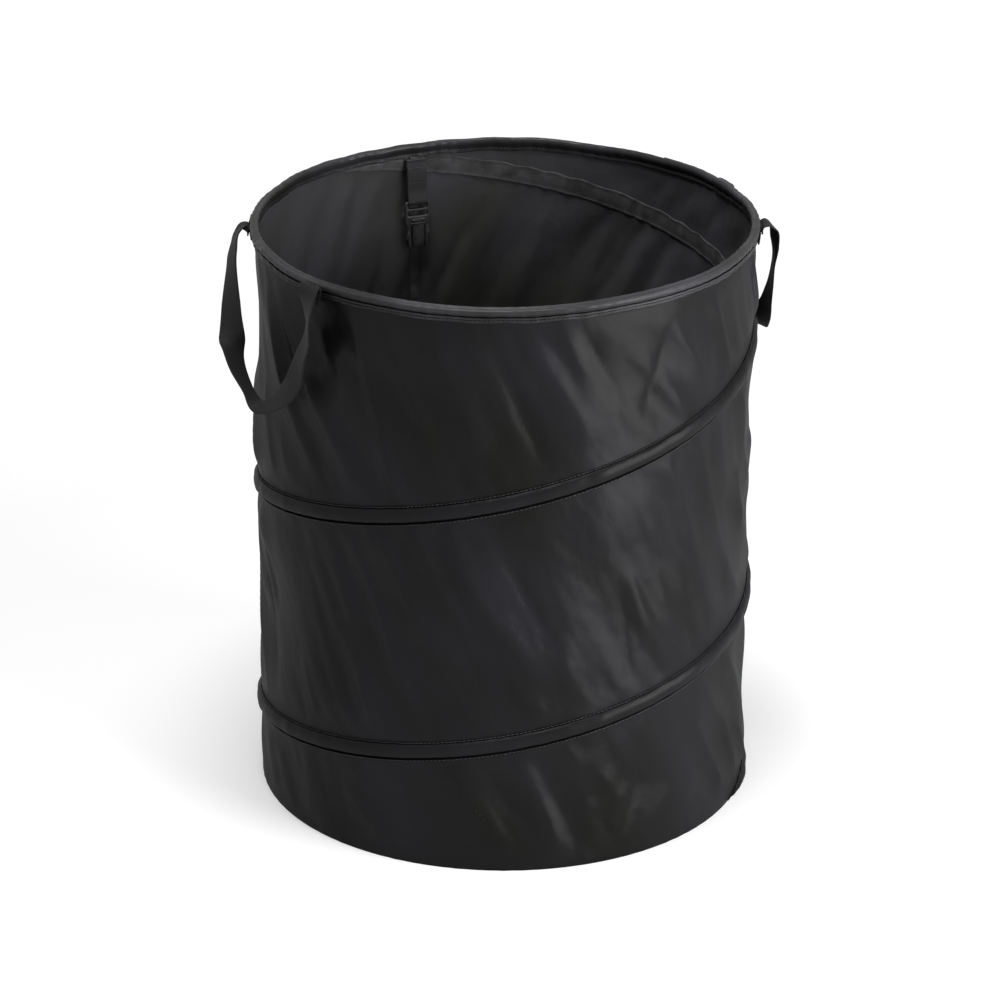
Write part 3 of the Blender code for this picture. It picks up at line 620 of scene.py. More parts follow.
def as_rows(*values):
    """Each number, or list of numbers, as one row of an array."""
    return [np.atleast_1d(value)[None, :] for value in values]


def spring_points():
    """Points round the wire at each step down the spiral, standing off the wall inside the sleeve."""
    azimuth, height, over, up = along_spiral(WIRE_START, WIRE_END)
    turn = all_round(WIRE_SIDES)
    side = WIRE_RADIUS * np.cos(turn)
    stand = WALL_RADIUS + NYLON_THICK / 2 + relief(azimuth, height) + WIRE_STAND
    return at(azimuth + side * over, stand + WIRE_RADIUS * np.sin(turn), height + side * up)


def sleeve_points(side, out):
    """Points along the sleeve, side metres up from the wire and out metres off the wall. It lies on the
    wall and flattens above the wire's end."""
    azimuth, height, over, up = along_spiral(CASING_START, CASING_END)
    side, out = as_rows(side, out)
    bulge = np.clip((CASING_START - azimuth) / (CASING_START - CASING_FADE), 0.12, 1.0)
    wander = 1.0 + 0.05 * np.sin(31 * azimuth) + 0.04 * np.sin(53 * azimuth + 1.0)
    pinch = 0.00024 * np.sin(101 * azimuth + 3.0 * np.sin(11 * azimuth)) * (np.abs(side) > 0.0052)
    place_azimuth = azimuth + side * over
    place_height = height + side * up
    stand = relief(place_azimuth, np.clip(place_height, 0.0, WALL_TOP))
    out = out * np.where(out > 0.0013, bulge * wander, 1.0)
    return at(place_azimuth, WALL_RADIUS + NYLON_THICK / 2 + stand + out + pinch, place_height)


def tape_points(side, inward):
    """Points along the inner tape, side metres up from its middle and inward metres off the wall. Its two
    rows of stitches pull it into small puckers."""
    azimuth, height, over, up = along_spiral(CASING_START, CASING_END)
    side, inward = as_rows(side, inward)
    pinch = 0.0004 * np.sin(61 * azimuth + 3.0 * np.sin(13 * azimuth)) + 0.0002 * np.sin(113 * azimuth)
    wavy_edge = 0.0007 * np.sin(43 * azimuth + 2.0 * np.sin(9 * azimuth)) * (side > 0.0)
    place_azimuth = azimuth + side * over
    place_height = height + side * up + wavy_edge
    stand = relief(place_azimuth, np.clip(place_height, 0.0, WALL_TOP))
    radius = WALL_RADIUS - NYLON_THICK / 2 + stand - 0.0002 - inward - pinch * (inward > 0.0)
    return at(place_azimuth, radius, place_height)


def spiral_strip(name, points, width, low, creases=()):
    along = np.cumsum(np.full(len(points), CASING_STEP * WALL_RADIUS))
    across = np.linspace(0.0, width, points.shape[1] + 1)
    strip = loft(name, points, across, along)
    # Faces listed in creases take the second material, the painted crease shade.
    for face in strip.polygons:
        face.material_index = int(face.index % points.shape[1] in creases)
    return trim_level(strip, low, STRIP_TOP)


def trim_level(mesh, low, high):
    """Cuts a strip off level at two heights and closes the cut ends."""
    cut = bmesh.new()
    cut.from_mesh(mesh)
    for height, side in ((low, -1), (high, 1)):
        everything = [*cut.verts, *cut.edges, *cut.faces]
        plane = {"plane_co": (0, 0, height), "plane_no": (0, 0, side)}
        made = bmesh.ops.bisect_plane(cut, geom=everything, clear_outer=True, dist=0.000001, **plane)
        rim = [e for e in made["geom_cut"] if isinstance(e, bmesh.types.BMEdge)]
        bmesh.ops.holes_fill(cut, edges=rim, sides=0)
    cut.to_mesh(mesh)
    cut.free()
    return mesh


spring_rows = spring_points()
spring_round = np.linspace(0.0, 2 * pi * WIRE_RADIUS, WIRE_SIDES + 1)
spring_along = np.arange(len(spring_rows)) * CASING_STEP * WALL_RADIUS
spring_skin = loft("spiral_spring", spring_rows, spring_round, spring_along)
spring = add_piece(spring_skin, coating, "base", "spring_steel", "spiral_wire")
folds_with_wall(spring)
sleeve_section = sleeve_points(*np.transpose(SLEEVE_SECTION))
sleeve_skin = spiral_strip("spiral_sleeve", sleeve_section, SLEEVE_WIDE, SLEEVE_LOW, SLEEVE_SHADED_CREASES)
sleeve_nylon = coated_nylon("sleeve_nylon", NYLON_BLACK, NYLON_GREY, 0.19, 0.26, rib_axis="X")
# A near-black, gloss-free copy of the nylon for the grooves: painted shade.
painted_crease_shade = coated_nylon("painted_crease_shade", PAINTED_CREASE_SHADE_BLACK, NYLON_BLACK, 0.0, 0.5)
sleeve = add_piece(sleeve_skin, sleeve_nylon, "base", "coated_cloth", "spiral_casing")
sleeve.data.materials.append(painted_crease_shade)
folds_with_wall(sleeve)
tape_section = (np.array(TAPE_SIDES) * TAPE_HALF, np.array(TAPE_STAND) * TAPE_THICK)
tape_skin = spiral_strip("spiral_inner_tape", tape_points(*tape_section), 2 * TAPE_HALF, TAPE_LOW)
inner_tape = add_piece(tape_skin, tape_cloth, "base", "binding_tape", "spiral_tape")
folds_with_wall(inner_tape)

# The wall seam's tape: a narrow folded binding down the inside, sewn over the panel's joined edges.
SEAM_TAPE_HALF = 0.0050
SEAM_TAPE_THICK = 0.0010
SEAM_TAPE_HEIGHTS = np.linspace(0.0100, TOP - 0.0146, 240)


def seam_tape_points(side, inward):
    """Points up the seam tape, side metres to the left of its middle and inward metres off the wall."""
    height = SEAM_TAPE_HEIGHTS[:, None]
    side, inward = as_rows(side, inward)
    sway = 0.0006 * np.sin(31 * height) + 0.0004 * np.sin(90 * height + 1.0)
    azimuth = SEAM_AZIMUTH + (side + sway) / WALL_RADIUS
    low, high = nearest_turns(azimuth, height)
    over_tape = 0.0010 * below(np.minimum(height - low, high - height) - TAPE_HALF - 0.002, 0.0008)
    pinch = 0.0002 * np.sin(900 * height + 2.0 * np.sin(70 * height)) * (inward > 0.0)
    stand = relief(azimuth, height) - 0.0003 - over_tape
    return at(azimuth, WALL_RADIUS - NYLON_THICK / 2 + stand - inward - pinch, height)


seam_skin = loft(
    "wall_seam_tape",
    seam_tape_points(np.array(TAPE_SIDES) * SEAM_TAPE_HALF, np.array(TAPE_STAND) * SEAM_TAPE_THICK),
    np.linspace(0.0, 2 * SEAM_TAPE_HALF, len(TAPE_SIDES) + 1),
    SEAM_TAPE_HEIGHTS,
)
seam_tape = add_piece(seam_skin, tape_cloth, "base", "binding_tape", "side_seam_tape")
folds_with_wall(seam_tape)

# The rim's hem: a nylon strip folded over the rim wire and the wall's top edge, and sewn through both with
# rows of stitches that pull it into small waves. Its ends lap over each other at the back right.
HEM_LOW = TOP - 0.0143
HEM_GIRTH = 0.042
HEM_COLUMNS = 720
# The hem's groove faces that take the painted crease shade.
HEM_SHADED_CREASES = (3, 6)
HEM_LAP = radians(27)
FERRULE_AT = radians(82.5)
HEM_LAP_HALF = radians(3.2)
# The hem's nylon is paler than the wall's: a painted highlight on the rim.
HEM_BLACK_PAINTED_LIGHT = (0.0150, 0.0156, 0.0140)
HEM_GREY_PAINTED_LIGHT = (0.0440, 0.0420, 0.0490)
HEM_SECTION = [
    (0.00150, 0.0000), (0.00250, 0.0003), (0.00285, 0.0011), (0.00190, 0.0021), (0.00285, 0.0031),
    (0.00325, 0.0041), (0.00270, 0.0052), (0.00170, 0.0060), (0.00200, 0.0067), (0.00345, 0.0077),
    (0.00430, 0.0089), (0.00450, 0.0101), (0.00420, 0.0115), (0.00330, 0.0126), (0.00215, 0.0130),
    (0.00110, 0.0128), (0.00020, 0.0131), (-0.00080, 0.0140), (-0.00190, 0.0144), (-0.00300, 0.0138),
    (-0.00400, 0.0122), (-0.00430, 0.0098), (-0.00390, 0.0080), (-0.00300, 0.0062), (-0.00190, 0.0048),
    (-0.00150, 0.0036), (-0.00175, 0.0026), (-0.00200, 0.0012), (-0.00180, 0.0003), (-0.00120, 0.0000),
    (-0.00045, 0.0000), (-0.00045, 0.0025), (0.00045, 0.0025), (0.00045, 0.0000),
]


def hem_points(out, up):
    """Points round the hem, out metres from the wall's middle and up metres above the hem's lower edge."""
    azimuth = all_round(HEM_COLUMNS)
    out = np.atleast_1d(out)[:, None]
    up = np.atleast_1d(up)[:, None]
    low_part = np.exp(-up / 0.005)
    gather = np.sin(67 * azimuth + 3.0 * np.sin(9 * azimuth)) * (0.6 + 0.4 * np.sin(5 * azimuth + 1.0))
    ripple = 0.00030 * gather * low_part + 0.00025 * np.sin(103 * azimuth + 2.0 * np.sin(17 * azimuth))
    edge = 0.0005 * np.sin(23 * azimuth + 2.0 * np.sin(4 * azimuth)) + 0.0002 * gather
    waver = 0.0004 + 0.0014 * np.cos(azimuth + radians(30)) + 0.0009 * np.cos(2 * azimuth + radians(70))
    waver += 0.0005 * np.sin(9 * azimuth + 2.0 * np.sin(2 * azimuth))
    waver += 0.0004 * np.sin(26 * azimuth + 3.0 * np.sin(3 * azimuth)) * (0.5 + 0.5 * np.sin(azimuth))
    over_ferrule = np.exp(-((turned_from(azimuth, FERRULE_AT) / 0.09) ** 2))
    waver = waver * (1.0 - over_ferrule) + 0.0006 * over_ferrule
    off_lap = turned_from(azimuth, HEM_LAP)
    lap = below(np.abs(off_lap) - HEM_LAP_HALF, 0.003)
    lap -= 1.2 * np.exp(-(((off_lap - 1.15 * HEM_LAP_HALF) / 0.007) ** 2))
    outer_faces = np.sign(out) * (np.abs(out) > 0.0010)
    radius = WALL_RADIUS + out + outer_faces * (ripple + 0.0010 * lap)
    return at(azimuth, radius, HEM_LOW + up + edge * low_part + waver + 0.0012 * lap * (up > 0.009))


hem_skin = loft(
    "rim_hem",
    hem_points(*np.transpose(HEM_SECTION)),
    np.linspace(0.0, 2 * pi * WALL_RADIUS, HEM_COLUMNS + 1),
    np.linspace(0.0, HEM_GIRTH, len(HEM_SECTION) + 1),
    round_rows=True,
)
# A paler copy of the nylon for the hem: painted highlight.
hem_nylon_painted_light = coated_nylon("hem_nylon_painted_light", HEM_BLACK_PAINTED_LIGHT, HEM_GREY_PAINTED_LIGHT, 0.34, 0.26)
hem = add_piece(hem_skin, hem_nylon_painted_light, "rim", "binding_tape", "rim_binding")
# The hem's grooves take the painted crease shade.
hem.data.materials.append(painted_crease_shade)
for face in hem.data.polygons:
    face.material_index = int(face.index // HEM_COLUMNS in HEM_SHADED_CREASES)

# The carry handles: two loops of 25 mm polypropylene webbing. Each end leaves the rim flat and is sewn
# down over its own folded tab, and the loop hangs twisted between them.
HANDLE_MIDDLES = {"left": SEAM_AZIMUTH + radians(88), "right": SEAM_AZIMUTH - radians(88)}
HANDLE_SPREAD = 23.0
HANDLE_RADIUS = 0.2450
HANDLE_TOP = TOP - 0.0035
HANDLE_THICK = 0.0015
TAB_TOP = HANDLE_TOP - 0.0016
TAB_LONG = 0.0199
TAB_TAPER = 0.0120
TAB_STAND = 0.0049
TAB_SETTLE = 0.0012
TAB_THICK = 0.0016
TAB_ROWS = 24
WEBBING_WIDE = 0.025
HANDLE_STATIONS = 180
WEBBING_BLACK = (0.0032, 0.0032, 0.0033)
WEBBING_GREY = (0.0080, 0.0080, 0.0078)
LEFT_LOOP = [
    (-23.0, -0.0026, 0.0150, 0.024, 0), (-23.0, -0.0022, 0.0110, 0.024, 0),
    (-23.0, 0.0030, 0.0095, 0.021, 0), (-21.0, 0.0090, 0.0160, 0.022, 4),
    (-18.5, 0.0120, 0.0280, 0.025, 13), (-16.0, 0.0135, 0.0440, 0.025, 18),
    (-12.5, 0.0150, 0.0670, 0.025, 33), (-9.0, 0.0165, 0.0910, 0.025, 57),
    (-6.0, 0.0175, 0.1090, 0.025, 134), (0.5, 0.0175, 0.1230, 0.025, 156),
    (8.0, 0.0170, 0.1320, 0.024, 164), (12.5, 0.0160, 0.1280, 0.025, 157),
    (18.5, 0.0150, 0.1100, 0.025, 167), (21.5, 0.0140, 0.0920, 0.025, 171),
    (23.0, 0.0125, 0.0700, 0.025, 157), (24.5, 0.0110, 0.0520, 0.025, 149),
    (24.5, 0.0090, 0.0360, 0.025, 141), (24.0, 0.0065, 0.0220, 0.025, 153),
    (23.5, 0.0040, 0.0085, 0.025, 172), (23.0, 0.0000, 0.0020, 0.025, 180),
    (23.0, -0.0026, 0.0010, 0.024, 180), (23.0, -0.0026, 0.0050, 0.024, 180),
]
RIGHT_LOOP = [
    (-23.0, -0.0026, 0.0090, 0.024, 0), (-23.0, -0.0022, 0.0040, 0.024, 0),
    (-22.5, 0.0035, 0.0030, 0.021, 0), (-22.0, 0.0095, 0.0090, 0.022, 16),
    (-21.5, 0.0105, 0.0230, 0.025, 12), (-20.0, 0.0110, 0.0430, 0.025, -3),
    (-17.5, 0.0115, 0.0660, 0.025, -3), (-14.5, 0.0115, 0.0900, 0.025, 2),
    (-11.0, 0.0120, 0.1110, 0.025, 12), (-6.5, 0.0105, 0.1280, 0.025, 34),
    (-2.0, 0.0100, 0.1360, 0.025, 60), (4.5, 0.0110, 0.1360, 0.025, 80),
    (11.5, 0.0130, 0.1220, 0.025, 100), (17.5, 0.0140, 0.1010, 0.025, 120),
    (21.0, 0.0130, 0.0670, 0.025, 138), (22.5, 0.0100, 0.0390, 0.025, 156),
    (23.0, 0.0070, 0.0220, 0.025, 170), (23.0, 0.0040, 0.0090, 0.025, 176),
    (23.0, 0.0000, 0.0020, 0.025, 180), (23.0, -0.0026, 0.0010, 0.024, 180),
    (23.0, -0.0026, 0.0050, 0.024, 180),
]


def webbing(name, dark, light, ribs):
    """Polypropylene webbing: matt, with coarse ribs across it, paler on its raised threads."""
    made, tree, shader, place = new_material(name, dark, 0.75, 0.2)
    weave = woven(tree, ribs)
    fuzz = noise(tree, place, 900.0, 2.0, 0.6)
    colour = blend_colours(tree, weave, dark, light, 0.1, 0.95)
    layers = [(noise(tree, place, 40.0), 0.0004), (weave, 0.00018), (fuzz, 0.00003)]
    dress(tree, shader, colour, from_to(tree, fuzz, 0.65, 0.85), layers)
    return made


def smooth_path(stops, count):
    """A Catmull-Rom curve through rows of numbers, read at so many even steps."""
    stops = np.array(stops)
    place = np.linspace(0.0, len(stops) - 1.0, count)
    n = np.minimum(place.astype(int), len(stops) - 2)
    t = (place - n)[:, None]
    a, b, c, d = (stops[np.clip(n + step, 0, len(stops) - 1)] for step in (-1, 0, 1, 2))
    return 0.5 * (2 * b + (c - a) * t + (2 * a - 5 * b + 4 * c - d) * t**2 + (3 * b - a - 3 * c + d) * t**3)


def strip_mesh(name, centres, across, widths, thick):
    """Webbing of a given width and thickness along its middle line, with rounded selvedges."""
    along = np.gradient(centres, axis=0)
    along /= np.linalg.norm(along, axis=1)[:, None]
    across = across - along * np.sum(across * along, axis=1)[:, None]
    across /= np.linalg.norm(across, axis=1)[:, None]
    face = np.cross(across, along)
    half_side = np.array((-0.5, -0.48, -0.44, -0.25, 0.0, 0.25, 0.44, 0.48))
    half_front = np.array((0.0, 0.42, 0.50, 0.47, 0.46, 0.47, 0.50, 0.42))
    side = np.concatenate([half_side, -half_side])[None, :, None]
    front = np.concatenate([half_front, -half_front])[None, :, None]
    points = centres[:, None, :] + across[:, None, :] * side * widths[:, None, None]
    points = points + face[:, None, :] * front * thick
    length = np.concatenate([[0.0], np.cumsum(np.linalg.norm(np.diff(centres, axis=0), axis=1))])
    flat = np.append(np.abs(side[0, :, 0]), 0.5) * WEBBING_WIDE
    return loft(name, points, flat, length)


def ways_at(azimuth):
    """Straight out from the can's axis, and level round it."""
    outward = at(azimuth, 1.0, 0.0)
    return outward, np.stack((-outward[..., 1], outward[..., 0], outward[..., 2]), axis=-1)


def handle_mesh(name, middle, stops):
    azimuth, out, drop, width, lean = smooth_path(stops, HANDLE_STATIONS).T
    azimuth = middle + np.radians(azimuth)
    centres = at(azimuth, HANDLE_RADIUS + out, HANDLE_TOP - drop)
    outward, tangent = ways_at(azimuth)
    lean = np.radians(lean)[:, None]
    return strip_mesh(name, centres, outward * np.sin(lean) - tangent * np.cos(lean), width, HANDLE_THICK)


def tab_place(azimuth, share):
    """Points down the middle of a sewn end, and its width there, drawn in towards its foot."""
    radius = WALL_RADIUS + TAB_STAND - TAB_SETTLE * share**2
    return at(azimuth, radius, TAB_TOP - TAB_LONG * share), WEBBING_WIDE - TAB_TAPER * share


def tab_mesh(name, azimuth):
    """The folded end, wide at the rim and narrower below."""
    middle, widths = tab_place(azimuth, np.linspace(0.0, 1.0, TAB_ROWS))
    tangent = np.tile(ways_at(azimuth)[1], (TAB_ROWS, 1))
    return strip_mesh(name, middle, tangent, widths, TAB_THICK)


handle_webbing = webbing("handle_webbing", WEBBING_BLACK, WEBBING_GREY, 620.0)
for side, stops in (("left", LEFT_LOOP), ("right", RIGHT_LOOP)):
    middle = HANDLE_MIDDLES[side]
    node = f"handle_{side}"
    loop_skin = handle_mesh(f"{node}_loop", middle, stops)
    loop = add_piece(loop_skin, handle_webbing, node, "webbing", node)
    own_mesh(loop)
    ends = (("back", -1), ("front", 1)) if side == "left" else (("front", -1), ("back", 1))
    for end, way in ends:
        tab = tab_mesh(f"{node}_{end}_end", middle + way * radians(HANDLE_SPREAD))
        add_piece(tab, handle_webbing, "rim", "webbing", f"{node}_{end}_tab")

# The closures: 20 mm webbing hangs inside the rim at the seam and opposite it, doubled round the bar of a
# male buckle half. A short strap on the base carries the female half, a moulded socket.
CLOSURE_AZIMUTHS = {"back": SEAM_AZIMUTH, "front": SEAM_AZIMUTH + pi}
STRAP_WIDE = 0.020
STRAP_THICK = 0.0014
STRAP_STATIONS = 160
STRAP_TOP = TOP - 0.0155
STRAP_RADIUS = 0.2300
STRAP_TILT = radians(4)
STRAP_DROP = 0.044
STRAP_FOLD = 0.026
BASE_STRAP_START = 0.2240
BASE_STRAP_LENGTH = 0.046
BASE_STRAP_FOLD = 0.018
BASE_STRAP_SINK = 0.00295
SOCKET_MIDDLE = 0.0058
LOOP_ROUND = 0.0028
STRAP_BLACK = (0.0140, 0.0140, 0.0150)
STRAP_GREY = (0.0340, 0.0340, 0.0365)
PRONG_EDGE = [
    (0.0070, 0.0012), (0.0112, 0.0010), (0.0129, -0.0010), (0.0130, -0.0060), (0.0130, -0.0150),
    (0.0130, -0.0205), (0.0121, -0.0235), (0.0119, -0.0290), (0.0128, -0.0345), (0.0127, -0.0371),
    (0.0111, -0.0379), (0.0108, -0.0405), (0.0106, -0.0440), (0.0092, -0.0467), (0.0077, -0.0471),
    (0.0071, -0.0440), (0.0074, -0.0360), (0.0076, -0.0285), (0.0073, -0.0245), (0.0067, -0.0236),
    (0.0061, -0.0246), (0.0062, -0.0290), (0.0060, -0.0400), (0.0054, -0.0440), (0.0034, -0.0456),
    (0.0012, -0.0458),
]
PRONG_THICK = 0.0032


def doubled_path(length, fold, sink):
    """The side view of a strap that runs down to a bar, loops round it and lies back on itself, as metres
    along it and metres out of its face."""
    layer = STRAP_THICK / 2 + 0.00010
    slack = 0.0004
    parting = length - 0.012
    bend = [(length - 0.002, -LOOP_ROUND)]
    bend += [(length + LOOP_ROUND * cos(t), LOOP_ROUND * sin(t)) for t in np.linspace(-pi / 2, pi / 2, 9)]
    bend += [(length - 0.002, LOOP_ROUND)]
    under = [(0.0, -sink - layer), (length / 2, -sink - layer - slack), (parting, -sink - layer)]
    over = [(parting, layer - sink), (parting - fold / 2, layer - sink + slack)]
    over += [(parting - fold, layer - sink)]
    return smooth_path(under + bend + over, STRAP_STATIONS)


def hanging_frame(azimuth, drop=0.0):
    """Across the strap, up along it and into the can, and a point on it at a drop below its top."""
    outward = at(azimuth, 1.0, 0.0)
    up = np.array((0.0, 0.0, cos(STRAP_TILT))) + outward * sin(STRAP_TILT)
    across = np.cross(outward, (0.0, 0.0, 1.0))
    return across, up, np.cross(across, up), at(azimuth, STRAP_RADIUS, STRAP_TOP) - up * drop


def lying_frame(azimuth):
    """Across the base strap, out to the wall and up, and the point where its sewn end lies."""
    outward = at(azimuth, 1.0, 0.0)
    up = np.array((0.0, 0.0, 1.0))
    return np.cross(outward, up), outward, up, at(azimuth, BASE_STRAP_START, SOCKET_MIDDLE)


def strap_mesh(name, place, length, fold, sink):
    across, up, face, top = place
    path = doubled_path(length, fold, sink)
    centres = top - up * path[:, :1] + face * path[:, 1:]
    widths = np.full(len(path), STRAP_WIDE)
    return strip_mesh(name, centres, np.tile(across, (len(path), 1)), widths, STRAP_THICK)


def mesh_from(carrier, name):
    """The mesh that a curve or an object with modifiers comes to. The object itself is removed."""
    mesh = bpy.data.meshes.new_from_object(carrier.evaluated_get(bpy.context.evaluated_depsgraph_get()))
    mesh.name = name
    bpy.data.objects.remove(carrier)
    return mesh


def flat_curve(name, loops, thick, edge):
    """A plate cut to outlines, with rounded edges, as a mesh."""
    data = bpy.data.curves.new(name, "CURVE")
    data.dimensions = "2D"
    data.fill_mode = "BOTH"
    data.extrude = thick / 2 - edge
    data.bevel_depth = edge
    data.bevel_resolution = 2
    data.offset = -edge
    for loop in loops:
        line = data.splines.new("POLY")
        line.points.add(len(loop) - 1)
        flat = np.column_stack([loop, np.zeros(len(loop)), np.ones(len(loop))])
        line.points.foreach_set("co", flat.ravel())
        line.use_cyclic_u = True
    return mesh_from(add_object(name, data), name)


def slot_outline(half_width, low, high):
    """A slot with round ends, level across the plate."""
    round_end = (high - low) / 2
    centre = (half_width - round_end, low + round_end)
    turn = np.linspace(-pi / 2, pi / 2, 7)
    right = [(centre[0] + round_end * cos(t), centre[1] + round_end * sin(t)) for t in turn]
    return right + [(-x, low + high - y) for x, y in right]


def add_pad(solid, centre, size):
    """A low moulded pad or rib with rounded edges."""
    made = bmesh.ops.create_cube(solid, size=1.0)
    bmesh.ops.scale(solid, vec=size, verts=made["verts"])
    bmesh.ops.translate(solid, vec=centre, verts=made["verts"])
    edges = list({edge for corner in made["verts"] for edge in corner.link_edges})
    bmesh.ops.bevel(solid, geom=edges, offset=min(size) * 0.4, segments=3, affect="EDGES", profile=0.5)


def add_boss(solid, centre, radius, height):
    """A small domed rivet head."""
    made = bmesh.ops.create_uvsphere(solid, u_segments=16, v_segments=10, radius=radius)
    bmesh.ops.scale(solid, vec=(1.0, 1.0, height / radius), verts=made["verts"])
    bmesh.ops.translate(solid, vec=centre, verts=made["verts"])


def prong_half_mesh(name, place):
    """The male half: a plate with two strap slots, grip ribs, rivet heads, sprung prongs and a guide."""
    right = smooth_path(PRONG_EDGE, 140)
    outline = np.concatenate([right, right[::-1] * (-1, 1)])[::-1]
    slots = [slot_outline(0.0106, -0.0062, -0.0012), slot_outline(0.0106, -0.0136, -0.0090)]
    plate = flat_curve(name, [outline, *slots], PRONG_THICK, 0.0006)
    solid = bmesh.new()
    solid.from_mesh(plate)
    bmesh.ops.remove_doubles(solid, verts=solid.verts, dist=0.00001)
    for side in (-1, 1):
        add_pad(solid, (0.0, -0.0148, side * 0.0016), (0.0220, 0.0012, 0.0012))
        add_pad(solid, (0.0, -0.0212, side * 0.0016), (0.0160, 0.0010, 0.0010))
        add_pad(solid, (0.0, -0.0180, side * 0.0015), (0.0150, 0.0044, 0.0010))
        for x in (-0.0048, 0.0048):
            add_boss(solid, (x, -0.0180, side * 0.0019), 0.0014, 0.0008)
            add_pad(solid, (x * 2.1, -0.0330, side * 0.0016), (0.0022, 0.0070, 0.0008))
    bmesh.ops.recalc_face_normals(solid, faces=solid.faces)
    across, up, face, bar = place
    turn = Matrix(np.column_stack([across, up, face]).tolist()).to_4x4()
    bmesh.ops.transform(solid, matrix=Matrix.Translation(bar.tolist()) @ turn, verts=solid.verts)
    solid.to_mesh(plate)
    solid.free()
    for flat in plate.polygons:
        flat.use_smooth = True
    plate.set_sharp_from_angle(angle=radians(40))
    return plate


def buckle_plastic():
    """Moulded acetal: a fine spark-eroded grain, with rubbed patches scattered over it."""
    made, tree, shader, place = new_material("buckle_plastic", (0.014, 0.014, 0.015), 0.35)
    grain = noise(tree, place, 2600.0, 2.0, 0.6)
    rubbed = noise(tree, place, 160.0, 4.0, 0.55)
    colour = blend_colours(tree, rubbed, (0.011, 0.011, 0.012), (0.022, 0.022, 0.024))
    dress(tree, shader, colour, from_to(tree, rubbed, 0.34, 0.52), [(rubbed, 0.00008), (grain, 0.00003)])
    return made


plastic = buckle_plastic()
strap_webbing = webbing("strap_webbing", STRAP_BLACK, STRAP_GREY, 760.0)
for end, azimuth in CLOSURE_AZIMUTHS.items():
    body = f"closure_{end}"
    hanging = strap_mesh(f"{body}_webbing", hanging_frame(azimuth), STRAP_DROP, STRAP_FOLD, 0.0)
    add_piece(hanging, strap_webbing, body, "webbing", f"closure_strap_{end}")
    prongs = prong_half_mesh(f"{body}_prongs", hanging_frame(azimuth, STRAP_DROP))
    add_piece(prongs, plastic, body, "buckle_plastic", f"buckle_prongs_{end}")
    lying = (lying_frame(azimuth), BASE_STRAP_LENGTH, BASE_STRAP_FOLD, BASE_STRAP_SINK)
    lying = strap_mesh(f"base_{end}_webbing", *lying)
    add_piece(lying, strap_webbing, "base", "webbing", f"base_strap_{end}")
    refinish(plastic, f"buckle_socket_{end}")

# The sewing: bonded polyester thread, a shade paler than the nylon, in rows along every edge that is sewn
# and in boxed crosses where webbing ends. Each stitch is a short oval sunk halfway into the cloth.
THREAD_DARK = (0.038, 0.038, 0.041)
THREAD_PALE = (0.085, 0.085, 0.090)
THREAD_WIDE = 0.00048
ROW_PITCH = 0.0042
ROW_STITCH = 0.0033
TACK_PITCH = 0.0021
TACK_STITCH = 0.0019
TACK_INSET = 0.0025
TACK_LIFT = 0.0009
OUTSIDE_LOW = 0.004
INSIDE_LOW = 0.014
ROWS_HIGH = TOP - 0.017
SLEEVE_STITCHES = ((-0.0094, 0.0013), (0.0087, 0.0012))
SEAM_STITCHES = 0.0042
TAPE_STITCHES = 0.0074
SEAM_TAPE_STITCHES = 0.0038
HEM_STITCHES = ((0.00196, 0.0020), (-0.00170, 0.0034))


def stitch_row():
    """A node tree that sets stitches along the edges of a mesh, end to end at an even pitch."""
    tree = bpy.data.node_groups.new("stitch_row", "GeometryNodeTree")
    tree.interface.new_socket("Seam line", in_out="INPUT", socket_type="NodeSocketGeometry")
    for name in ("Stitch pitch", "Stitch length", "Thread width"):
        tree.interface.new_socket(name, in_out="INPUT", socket_type="NodeSocketFloat")
    tree.interface.new_socket("Thread", in_out="INPUT", socket_type="NodeSocketMaterial")
    tree.interface.new_socket("Stitches", in_out="OUTPUT", socket_type="NodeSocketGeometry")
    given = add_node(tree, "NodeGroupInput").outputs
    line = add_node(tree, "GeometryNodeMeshToCurve", {"Mesh": given["Seam line"]}).outputs[0]
    spacing = {"Curve": line, "Length": given["Stitch pitch"]}
    places = add_node(tree, "GeometryNodeResampleCurve", spacing, mode="LENGTH").outputs[0]
    ahead = add_node(tree, "GeometryNodeInputTangent").outputs[0]
    turn = add_node(tree, "FunctionNodeAlignRotationToVector", {"Vector": ahead}, axis="X").outputs[0]
    uneven = {2: 0.86, 3: 1.08, "Seed": 7}
    uneven = add_node(tree, "FunctionNodeRandomValue", uneven, data_type="FLOAT").outputs[1]
    length = combine(tree, given["Stitch length"], uneven, "MULTIPLY")
    size = {"X": length, "Y": given["Thread width"], "Z": given["Thread width"]}
    size = add_node(tree, "ShaderNodeCombineXYZ", size).outputs[0]
    stitch = {"Segments": 6, "Rings": 4, "Radius": 0.5}
    stitch = add_node(tree, "GeometryNodeMeshUVSphere", stitch).outputs[0]
    row = {"Points": places, "Instance": stitch, "Rotation": turn, "Scale": size}
    row = add_node(tree, "GeometryNodeInstanceOnPoints", row).outputs[0]
    made = add_node(tree, "GeometryNodeRealizeInstances", {"Geometry": row}).outputs[0]
    made = add_node(tree, "GeometryNodeSetShadeSmooth", {"Geometry": made}).outputs[0]
    made = {"Geometry": made, "Material": given["Thread"]}
    made = add_node(tree, "GeometryNodeSetMaterial", made).outputs[0]
    add_node(tree, "NodeGroupOutput", {"Stitches": made})
    return tree


def sewing_thread():
    made, tree, shader, place = new_material("sewing_thread", THREAD_DARK, 0.55, 0.3)
    twist = noise(tree, place, 1500.0, 2.0, 0.5)
    colour = blend_colours(tree, noise(tree, place, 45.0, 3.0, 0.5), THREAD_DARK, THREAD_PALE)
    dress(tree, shader, colour, from_to(tree, twist, 0.45, 0.65), [(twist, 0.00006)])
    return made


